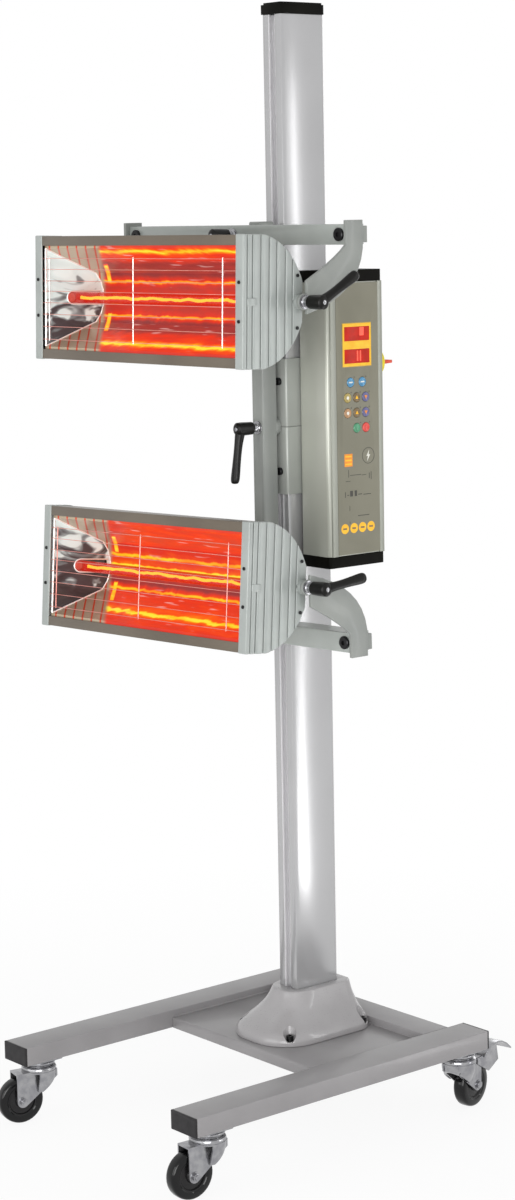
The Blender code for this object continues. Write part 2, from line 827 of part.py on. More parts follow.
def make_box():
    low = (box_inside, box_front)
    high = (box_outside, box_rear)
    level = carriage_height_above_floor
    shell_bottom = box_bottom + box_cap_height + touch_gap
    shell_top = box_top - box_cap_height - touch_gap
    outer = rounded_rectangle(low, high, box_corner_radius)
    inner_low = (low[0] + box_wall, low[1] + box_wall)
    inner_high = (high[0] - box_wall, high[1] - box_wall)
    inner = rounded_rectangle(inner_low, inner_high, box_corner_radius - box_wall)
    shell = plate_mesh((outer, inner), shell_bottom, shell_top, "Z")
    aperture_top = panel_top - panel_aperture_top
    aperture = box_mesh((box_outside - box_wall * 2, panel_front + panel_aperture_margin,
                         aperture_top - panel_aperture_length),
                        (box_outside + overrun, panel_rear - panel_aperture_margin, aperture_top))
    spindle_hole = rod_mesh((switch_x, box_rear, switch_height), switch_spindle_radius + bore_gap,
                            box_wall * 4, "Y")
    shell = cut(shell, aperture, spindle_hole)
    add_piece("control_box_shell", moved(shell, (0.0, 0.0, -level)), "carriage_slide", "aluminium")

    cap_low = (low[0], low[1] - box_cap_overhang)
    cap_high = (high[0] + box_cap_overhang, high[1] + box_cap_overhang)
    cap_outline = rounded_rectangle(cap_low, cap_high, box_corner_radius)
    plug_outline = rounded_rectangle((inner_low[0] + touch_gap, inner_low[1] + touch_gap),
                                     (inner_high[0] - touch_gap, inner_high[1] - touch_gap),
                                     box_corner_radius - box_wall - touch_gap)
    half = box_cap_height / 2
    for name, middle, plug_end in (("box_top_cap", box_top - half, shell_top - box_cap_plug_length),
                                   ("box_bottom_cap", box_bottom + half, shell_bottom + box_cap_plug_length)):
        lid = plate_mesh((cap_outline,), middle - half, middle + half, "Z")
        plug = plate_mesh((plug_outline,), min(middle, plug_end), max(middle, plug_end), "Z")
        add_piece(name, moved(fused(lid, plug), (0.0, 0.0, -level)), "carriage_slide", "black_plastic")

    panel = box_mesh((panel_back, panel_front, panel_top - panel_length),
                     (panel_back + panel_thickness, panel_rear, panel_top))
    middle = panel_front + display_setback
    windows = []
    blocks = []
    board_front = panel_back - board_setback
    for index in range(2):
        height = panel_top - display_drop - index * display_pitch
        window_low = (middle - display_width / 2, height - display_height / 2)
        window_high = (middle + display_width / 2, height + display_height / 2)
        windows.append(box_mesh((panel_back - overrun, *window_low), (panel_back + overrun, *window_high)))
        block_low = [edge + display_block_gap for edge in window_low]
        block_high = [edge - display_block_gap for edge in window_high]
        blocks.append(box_mesh((board_front - board_thickness / 2, *block_low),
                               (panel_back + panel_thickness - display_block_gap, *block_high)))
    places = key_places()
    holes = [rod_mesh((panel_back, along, height), key_radius + bore_gap, overrun * 2, "X")
             for along, height in places]
    panel = cut(panel, *windows, *holes)
    add_piece("control_panel", moved(panel, (0.0, 0.0, -level)), "carriage_slide", "panel", smooth=False)

    board_middle = (panel_front + panel_rear) / 2
    board_top = panel_top - board_drop
    board_half = board_width / 2
    board = box_mesh((board_front - board_thickness, board_middle - board_half, board_top - board_length),
                     (board_front, board_middle + board_half, board_top))
    posts = []
    for side in (-1, 1):
        for height in (board_top - post_radius * 2, board_top - board_length + post_radius * 2):
            along = board_middle + side * (board_half - post_radius * 2)
            post_low = (board_front - board_thickness / 3, along - post_radius, height - post_radius)
            post_high = (panel_back - touch_gap, along + post_radius, height + post_radius)
            posts.append(box_mesh(post_low, post_high))
    board = fused(board, *blocks, *posts)
    add_piece("display_board", moved(board, (0.0, 0.0, -level)), "carriage_slide", "board", smooth=False)

    stem_front = panel_thickness + key_proud
    stem_back = -touch_gap - key_flange_thickness
    stem = rod_mesh(((stem_front + stem_back) / 2, 0.0, 0.0), key_radius, stem_front - stem_back, "X",
                    fine_steps)
    flange = rod_mesh((-touch_gap - key_flange_thickness / 2, 0.0, 0.0), key_radius + key_flange,
                      key_flange_thickness, "X", fine_steps)
    key = fused(stem, flange)
    for number, (along, height) in enumerate(places, start=1):
        body("key_press_%d" % number, "carriage_slide", (panel_back, along, height))
        add_piece("key_%d" % number, key.copy(), "key_press_%d" % number, "key")

    plate_front = box_rear + touch_gap
    plate = rod_mesh((switch_x, plate_front + switch_plate_depth / 2, switch_height), switch_radius,
                     switch_plate_depth, "Y", fine_steps)
    bore = rod_mesh((switch_x, plate_front, switch_height), switch_spindle_radius + bore_gap,
                    switch_plate_depth * 3, "Y")
    add_piece("switch_plate", moved(cut(plate, bore), (0.0, 0.0, -level)), "carriage_slide", "yellow")
    knob_front = plate_front + switch_plate_depth + touch_gap
    body("main_switch", "carriage_slide", (switch_x, knob_front, switch_height))
    disc = rod_mesh((0.0, knob_disc_depth / 2, 0.0), knob_disc_radius, knob_disc_depth, "Y", fine_steps)
    grip = box_mesh((-knob_grip_length / 2, knob_disc_depth / 2, -knob_grip_width / 2),
                    (knob_grip_length / 2, knob_disc_depth + knob_grip_depth, knob_grip_width / 2))
    spindle_length = switch_plate_depth + touch_gap
    spindle = rod_mesh((0.0, (knob_disc_depth / 2 - spindle_length) / 2, 0.0), switch_spindle_radius,
                       spindle_length + knob_disc_depth / 2, "Y")
    add_piece("switch_knob", fused(disc, grip, spindle), "main_switch", "red")


# Clamp lever: stud along -Z, hub up +Z from its seat, handle along +X

def lever_mesh(stud_length, handle_length):
    dome = lever_height - lever_dome
    profile = [(0.0, lever_height), (lever_hub_radius - lever_dome, lever_height), (lever_hub_radius, dome),
               (lever_hub_radius, lever_hub_start), (lever_collar_radius, lever_hub_start),
               (lever_collar_radius, touch_gap + lever_washer_thickness),
               (lever_washer_radius, touch_gap + lever_washer_thickness), (lever_washer_radius, touch_gap),
               (lever_stud_radius, touch_gap), (lever_stud_radius, -stud_length), (0.0, -stud_length)]
    body_mesh = turned_mesh(profile, coarse_steps)
    slant = math.tan(math.radians(lever_handle_slant))
    section_shares = ((0.0, 1.0, 1.0), (0.35, 1.05, 0.95), (0.80, 1.25, 0.85), (0.97, 1.2, 0.8),
                      (1.0, 0.8, 0.5))
    shape = bmesh.new()
    rings = []
    for along_share, width_share, height_share in section_shares:
        along = handle_length * along_share
        level = dome - lever_handle_radius + along * slant
        ring = []
        for index in range(handle_sides):
            angle = 2 * math.pi * (index + 0.5) / handle_sides
            ring.append(shape.verts.new((along, math.cos(angle) * lever_handle_radius * width_share,
                                         level + math.sin(angle) * lever_handle_radius * height_share)))
        rings.append(ring)
    for first, second in zip(rings, rings[1:]):
        for index in range(handle_sides):
            after = (index + 1) % handle_sides
            shape.faces.new((first[index], first[after], second[after], second[index]))
    shape.faces.new(list(reversed(rings[0])))
    shape.faces.new(rings[-1])
    bmesh.ops.recalc_face_normals(shape, faces=shape.faces)
    handle = bpy.data.meshes.new("handle")
    shape.to_mesh(handle)
    shape.free()
    return fused(body_mesh, handle)


def lever_turn(outward, handle):
    out = Vector(outward)
    along = Vector(handle)
    across = out.cross(along)
    return Matrix((along, across, out)).transposed().to_4x4()


def make_boom():
    low = (-boom_width / 2, boom_front - carriage_front, -boom_fall)
    high = (boom_width / 2, boom_rear - carriage_front, boom_rise)
    bar = box_mesh(low, high, boom_rounding)
    boss = rod_mesh((0.0, boom_rear - carriage_front + (boss_length - boom_rounding) / 2, 0.0), boss_radius,
                    boss_length + boom_rounding, "Y", fine_steps)
    tools = []
    for rise in (0.0, upper_yoke_rise, -lower_yoke_fall):
        tools.append(rod_mesh((0.0, low[1], rise), lever_hole_radius, boom_depth * 3, "Y"))
    add_piece("boom_bar", cut(fused(bar, boss), *tools), "boom", "cast_grey")

    stud = boom_depth + boss_length + carriage_front_wall + slot_lip + shoe_head_thickness
    body("boom_clamp", "boom", (0.0, boom_front, carriage_height_above_floor))
    lever = turned_by(lever_mesh(stud, lever_handle_length), lever_turn((0.0, -1.0, 0.0), (0.0, 0.0, -1.0)))
    add_piece("boom_clamp_lever", lever, "boom_clamp", "black_plastic")


# Yokes: a crossbar on the boom with two curved arms to the cassette's pivots

def arm_outline(pivot_rise):
    # Drawn for an arm that hangs down; pivot_rise -1 hangs, +1 stands
    top = crossbar_height / 2 + arm_overrise
    eye_y = pivot_y
    tip_front = eye_y + arm_tip_setback
    tip_low = -arm_drop - arm_tip_half_height + arm_eye_radius / 2
    tip_high = -arm_drop + arm_tip_half_height + arm_eye_radius / 2
    outer_start = (arm_rear, -crossbar_height * 2 / 3)
    outer_control = (arm_rear - arm_width / 4, -arm_drop + arm_thickness + touch_gap)
    outer = bend(outer_start, outer_control, (tip_front, tip_low), 8)
    eye = arc((eye_y, -arm_drop), arm_eye_radius, 295, 65, 8)
    inner = bend((tip_front, tip_high), (arm_front - arm_width / 2, -arm_width),
                 (arm_front, -crossbar_height / 2), 5)
    points = [(arm_front, top)] + [(arm_rear, top)] + outer + eye + inner
    return [(along, -pivot_rise * up) for along, up in points]


def make_yoke(label, height, pivot_rise, turn):
    frame_name = label + "_yoke"
    body(frame_name, "boom", (0.0, crossbar_rear, height), (0.0, turn, 0.0))
    half = arm_inside - touch_gap
    front = crossbar_front - crossbar_rear
    top = crossbar_height / 2
    outer = rectangle((front, -top), (0.0, top))
    inner = rectangle((front + crossbar_wall, -top + crossbar_wall), (-crossbar_wall, top - crossbar_wall))
    tube = plate_mesh((outer, inner), -half, half, "X")
    washer = rod_mesh((0.0, crossbar_washer / 2 - touch_gap, 0.0), boss_radius, crossbar_washer,
                      "Y", fine_steps)
    hole = rod_mesh((0.0, front, 0.0), lever_hole_radius, crossbar_depth * 3, "Y")
    add_piece(label + "_crossbar", cut(fused(tube, washer), hole), frame_name, "cast_grey")

    shift = (0.0, -crossbar_rear, 0.0)
    for side_name, side in (("left", -1), ("right", 1)):
        edges = sorted((side * arm_inside, side * arm_outside))
        plate = plate_mesh((arm_outline(pivot_rise),), edges[0], edges[1], "X")
        tab_edges = sorted((side * (arm_inside - arm_tab_length), side * (arm_inside + arm_thickness / 2)))
        tab_gap = crossbar_wall + touch_gap
        tab = box_mesh((tab_edges[0], crossbar_front + tab_gap, -top + tab_gap),
                       (tab_edges[1], crossbar_rear - tab_gap, top - tab_gap))
        if side > 0:
            bore = rod_mesh((side * arm_inside, pivot_y, pivot_rise * arm_drop), lever_hole_radius,
                            arm_thickness * 4, "X")
            arm = cut(fused(plate, tab), bore)
        else:
            pin_length = arm_gap + end_cap_depth / 2 + arm_thickness / 2
            pin_middle = side * (arm_inside + arm_thickness / 2 - pin_length / 2)
            pin = rod_mesh((pin_middle, pivot_y, pivot_rise * arm_drop), lever_stud_radius, pin_length, "X")
            arm = fused(plate, tab, pin)
        add_piece(label + "_" + side_name + "_arm", moved(arm, shift), frame_name, "cast_grey")

    stud = crossbar_depth + crossbar_washer + boom_depth / 2
    body(label + "_yoke_clamp", frame_name, (0.0, crossbar_front, height))
    handle = (0.0, 0.0, float(pivot_rise))
    lever = turned_by(lever_mesh(stud, lever_handle_length), lever_turn((0.0, -1.0, 0.0), handle))
    add_piece(label + "_yoke_lever", lever, label + "_yoke_clamp", "black_plastic")


# Cassettes, modelled level round their pivot axis, then turned to their tilt

def cassette_outline(inset=0.0):
    top = cassette_half_height - inset
    front = cassette_front + inset
    rear = pivot_to_rear - inset
    flat = rear_flat_half_height - inset / 2
    curve_start = (front + cassette_depth * curve_start_share, top)
    curve_control = (rear - cassette_depth * curve_depth_share, top - cassette_half_height * curve_drop_share)
    upper = bend(curve_start, curve_control, (rear, flat), 8)
    half = [(front, top)] + upper
    return half, front, rear, top


def end_cap_mesh():
    half, front, rear, top = cassette_outline()
    outline = half + [(along, -up) for along, up in reversed(half)]
    inside = cassette_end - end_cap_depth
    cap = plate_mesh((outline,), inside, cassette_end, "X")
    lug = rod_mesh(((inside + end_cap_depth / 2 + arm_inside - touch_gap) / 2, 0.0, 0.0), lug_radius,
                   arm_inside - touch_gap - inside - end_cap_depth / 2, "X", fine_steps)
    tools = []
    for index in range(rib_groove_count):
        along = front + rib_groove_start + rib_groove_pitch * index
        if along + rib_groove_width > -lug_radius:
            continue
        tools.append(box_mesh((cassette_end - rib_groove_depth, along, -top - overrun),
                              (cassette_end + overrun, along + rib_groove_width, top + overrun)))
    socket = rod_mesh((inside, front + tube_setback, 0.0), ceramic_radius + touch_gap,
                      (ceramic_seat + touch_gap) * 2, "X", fine_steps)
    pin_hole = rod_mesh((arm_inside, 0.0, 0.0), lever_hole_radius,
                        (arm_gap + end_cap_depth / 2 + lever_stud_radius / 2) * 2, "X")
    return cut(fused(cut(cap, *tools), lug), socket, pin_hole)


def make_housing(name, frame_name):
    half, front, rear, top = cassette_outline(housing_inset)
    inner_half = cassette_outline(housing_inset + housing_wall)[0]
    lip_end = top - housing_lip
    outer_path = [(front, lip_end)] + half
    inner_path = [(front + housing_wall, lip_end)] + inner_half
    outer_all = outer_path + [(along, -up) for along, up in reversed(outer_path)]
    inner_all = inner_path + [(along, -up) for along, up in reversed(inner_path)]
    span = cassette_end - end_cap_depth - touch_gap
    shell = plate_mesh((outer_all + list(reversed(inner_all)),), -span, span, "X")
    add_piece(name, shell, frame_name, "champagne")


def make_reflector(name, frame_name):
    mouth = lip_back + touch_gap + wire_radius * 2 + touch_gap + reflector_sheet / 2
    flange = cassette_half_height - housing_inset - housing_wall - touch_gap
    # Half profile from the flange to the back: share of the depth, share of the mouth's half height
    profile_shares = ((0.0, 1.0), (0.86, 0.51), (0.945, 0.34), (0.985, 0.17), (1.0, 0.0))
    half = [(mouth, flange)]
    for depth_share, height_share in profile_shares:
        half.append((mouth + reflector_depth * depth_share, reflector_mouth_half_height * height_share))
    profile = half + [(along, -up) for along, up in reversed(half[:-1])]
    end = cassette_end - end_cap_depth - reflector_end_gap
    shape = bmesh.new()
    left = []
    right = []
    for along, up in profile:
        reach = end - reflector_end_slant * (along - mouth) / reflector_depth
        left.append(shape.verts.new((-reach, along, up)))
        right.append(shape.verts.new((reach, along, up)))
    for index in range(len(profile) - 1):
        shape.faces.new((left[index], left[index + 1], right[index + 1], right[index]))
    shape.faces.new(list(reversed(left[1:-1])))
    shape.faces.new(right[1:-1])
    mesh = bpy.data.meshes.new("reflector")
    bmesh.ops.recalc_face_normals(shape, faces=shape.faces)
    shape.to_mesh(mesh)
    shape.free()
    holder = bpy.data.objects.new("work", mesh)
    bpy.context.scene.collection.objects.link(holder)
    wall = holder.modifiers.new("sheet", "SOLIDIFY")
    wall.thickness = reflector_sheet
    wall.offset = 0.0
    wall.use_even_offset = True
    graph = bpy.context.evaluated_depsgraph_get()
    sheet = bpy.data.meshes.new_from_object(holder.evaluated_get(graph))
    bpy.data.objects.remove(holder)
    passage = rod_mesh((0.0, cassette_front + tube_setback, 0.0), tube_passage_radius, cassette_length, "X")
    add_piece(name, cut(sheet, passage), frame_name, "mirror", smooth=False)


def make_lamp(name, frame_name):
    along = cassette_front + tube_setback
    end = cassette_end - end_cap_depth + ceramic_seat
    ceramic_start = end - ceramic_length
    profile = [(0.0, end), (ceramic_radius, end), (ceramic_radius, ceramic_start),
               (tube_radius, ceramic_start)]
    whole = profile + [(radius, -height) for radius, height in reversed(profile)]
    tube = turned_mesh(whole, fine_steps)
    tube.transform(Matrix.Translation((0.0, along, 0.0)) @ turn_to_axis["X"])
    add_piece(name, tube, frame_name, "quartz")


def make_grille(name, frame_name):
    upright_y = lip_back + touch_gap + wire_radius
    level_y = upright_y - wire_radius * 2 + wire_weld
    span = cassette_end - end_cap_depth - touch_gap
    wires = []
    for index in range(wire_count):
        rise = (index - (wire_count - 1) / 2) * wire_pitch
        wires.append(wire_mesh(((-span, level_y, rise), (span, level_y, rise)), wire_radius))
    height = cassette_half_height - housing_inset - housing_lip + upright_wire_overlap
    for share in (-upright_wire_share, 0.0, upright_wire_share):
        across = share * span
        wires.append(wire_mesh(((across, upright_y, -height), (across, upright_y, height)), wire_radius))
    add_piece(name, fused(*wires), frame_name, "steel")


def make_cassette(label, height, tilt, handle_angle):
    frame_name = label + "_cassette"
    body(frame_name, label + "_yoke", (0.0, pivot_y, height), (tilt, 0.0, 0.0))
    cap = end_cap_mesh()
    mirror = Matrix.Diagonal((-1.0, 1.0, 1.0, 1.0))
    add_piece(label + "_right_end_cap", cap, frame_name, "cast_grey")
    add_piece(label + "_left_end_cap", turned_by(cap, mirror), frame_name, "cast_grey")
    make_housing(label + "_housing", frame_name)
    make_reflector(label + "_reflector", frame_name)
    make_lamp(label + "_quartz_lamp", frame_name)
    make_grille(label + "_wire_grille", frame_name)

    body(label + "_tilt_clamp", label + "_yoke", (arm_outside, pivot_y, height))
    stud = arm_thickness + arm_gap + end_cap_depth / 2
    angle = math.radians(handle_angle)
    handle = (0.0, math.cos(angle), math.sin(angle))
    lever = turned_by(lever_mesh(stud, tilt_lever_handle_length), lever_turn((1.0, 0.0, 0.0), handle))
    add_piece(label + "_tilt_lever", lever, label + "_tilt_clamp", "black_plastic")


def centre_footprint():
    graph = bpy.context.evaluated_depsgraph_get()
    corners = []
    for piece in parts.objects:
        if piece.type == "MESH":
            mesh = piece.evaluated_get(graph).data
            corners += [piece.matrix_world @ vertex.co for vertex in mesh.vertices]
    for axis in (0, 1):
        values = [corner[axis] for corner in corners]
        middle = round((min(values) + max(values)) / 2, 4)
        bodies["base"][0].location[axis] = -middle


body("base", "", (0.0, 0.0, 0.0))
body("carriage_slide", "base", (0.0, 0.0, carriage_height_above_floor))
body("boom", "carriage_slide", (0.0, carriage_front, carriage_height_above_floor))
make_base()
make_column()
make_foot()
make_casters()
make_carriage()
make_box()
make_boom()
make_yoke("upper", upper_yoke_height, -1, 0.0)
make_yoke("lower", lower_yoke_height, 1, lower_yoke_turn)
make_cassette("upper", upper_pivot_height, upper_tilt, upper_tilt_lever_angle)
make_cassette("lower", lower_pivot_height, lower_tilt, lower_tilt_lever_angle)
bpy.context.view_layer.update()
centre_footprint()
bpy.context.view_layer.update()
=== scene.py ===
# Infrared paint curing lamp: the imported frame, dressed for a picture. Metres, +Z up.
import json
import math

import bmesh
import bpy
from mathutils import Matrix, Vector

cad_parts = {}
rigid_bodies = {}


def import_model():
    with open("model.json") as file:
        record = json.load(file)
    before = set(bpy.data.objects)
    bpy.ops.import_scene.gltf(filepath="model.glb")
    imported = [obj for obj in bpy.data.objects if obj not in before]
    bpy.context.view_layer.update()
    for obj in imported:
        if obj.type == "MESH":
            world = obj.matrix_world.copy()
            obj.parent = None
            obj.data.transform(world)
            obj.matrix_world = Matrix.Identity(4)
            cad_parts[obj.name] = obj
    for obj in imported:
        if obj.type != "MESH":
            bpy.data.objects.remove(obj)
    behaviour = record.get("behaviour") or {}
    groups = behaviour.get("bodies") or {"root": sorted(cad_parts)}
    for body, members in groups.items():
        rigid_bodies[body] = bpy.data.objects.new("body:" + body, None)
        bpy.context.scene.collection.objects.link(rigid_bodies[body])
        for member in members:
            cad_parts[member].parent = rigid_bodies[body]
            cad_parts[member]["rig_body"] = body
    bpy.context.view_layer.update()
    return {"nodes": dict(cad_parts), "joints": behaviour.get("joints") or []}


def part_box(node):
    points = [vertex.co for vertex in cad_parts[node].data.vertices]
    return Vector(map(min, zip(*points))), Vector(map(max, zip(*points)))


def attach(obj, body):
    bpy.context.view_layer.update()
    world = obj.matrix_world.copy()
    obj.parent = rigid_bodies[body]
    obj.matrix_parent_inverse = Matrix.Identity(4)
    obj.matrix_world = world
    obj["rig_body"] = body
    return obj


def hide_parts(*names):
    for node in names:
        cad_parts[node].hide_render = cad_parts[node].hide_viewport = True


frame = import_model()
mm = 0.001


def metres(size):
    return tuple(metres(part) for part in size) if isinstance(size, tuple) else size * mm


def lengths(**sizes):
    # a piece's settings, given in millimetres and kept in metres
    return {name: metres(size) for name, size in sizes.items()}


def spun(degrees, axis):
    return Matrix.Rotation(math.radians(degrees), 4, axis)


# Where things are: the column's axis, and one matrix for each part that is modelled level and then turned
columnAxis = Vector((-0.023, 0.1024, 0.0))
yokeTurns = {"upper": Matrix.Identity(4), "lower": spun(-1.5, "Y")}
pivots = {joint["child"]: Vector(joint["pos_m"]) for joint in frame["joints"] if joint.get("pos_m")}
cassettePlaces = {label: Matrix.Translation(pivots[label + "_cassette"]) @ yokeTurns[label] @ spun(tilt, "X")
                  for label, tilt in (("upper", -1.8), ("lower", -5.0))}
casterTurns = {"front_left": -12.0, "front_right": -3.0, "rear_left": 193.0, "rear_right": 193.0}


# Camera: where the photographer stood, from a fit of the stand's edges
view = {"place": (3.0874, -2.5638, 1.4522), "yaw": 50.4, "down": 8.5, "roll": -1.1, "lens": 77.217, "shift": -0.004}


def makeCamera():
    yaw, down, roll = (math.radians(view[part]) for part in ("yaw", "down", "roll"))
    ahead = Vector((-math.sin(yaw) * math.cos(down), math.cos(yaw) * math.cos(down), -math.sin(down)))
    level = Vector((math.cos(yaw), math.sin(yaw), 0.0))
    upright = level.cross(ahead)
    right = level * math.cos(roll) + upright * math.sin(roll)
    above = upright * math.cos(roll) - level * math.sin(roll)
    lens = bpy.data.cameras.new("photoCamera")
    lens.sensor_fit = "VERTICAL"
    lens.sensor_height = 36
    lens.lens = view["lens"]
    lens.shift_y = view["shift"]
    camera = bpy.data.objects.new("photoCamera", lens)
    bpy.context.scene.collection.objects.link(camera)
    turn = Matrix((right, above, -ahead)).transposed().to_4x4()
    camera.matrix_world = Matrix.Translation(view["place"]) @ turn
    bpy.context.scene.camera = camera


makeCamera()
print("camera placed")


# Materials: one function adds a node, one turns a hex colour linear
def connect(tree, node, settings):
    # each setting is a property, an input's value, or what is linked to the input: an output, or a node
    # that stands for its first output
    for name, value in settings.items():
        source = getattr(value, "outputs", [value])[0]
        if isinstance(source, bpy.types.NodeSocket):
            tree.links.new(source, node.inputs[name])
        elif isinstance(name, str) and name in node.bl_rna.properties:
            setattr(node, name, value)
        else:
            node.inputs[name].default_value = value
    return node


def addNode(tree, kind, settings):
    return connect(tree, tree.nodes.new("ShaderNode" + kind), settings)


def linear(hexColour):
    parts = [int(hexColour[start:start + 2], 16) / 255 for start in (1, 3, 5)]
    return [part / 12.92 if part <= 0.04045 else ((part + 0.055) / 1.055) ** 2.4 for part in parts] + [1.0]


def ramp(tree, source, stops):
    # a colour read off a scale of (position, colour), where a colour is a hex string or plain values
    node = addNode(tree, "ValToRGB", {"Fac": source})
    scale = node.color_ramp
    scale.elements[0].position = stops[0][0]
    scale.elements[1].position = stops[-1][0]
    for place, colour in stops[1:-1]:
        scale.elements.new(place)
    for knot, (place, colour) in zip(scale.elements, stops):
        knot.color = linear(colour) if isinstance(colour, str) else colour
    return node


def newFinish(name):
    made = bpy.data.materials.new(name)
    made.use_nodes = True
    return made, made.node_tree, made.node_tree.nodes["Principled BSDF"]


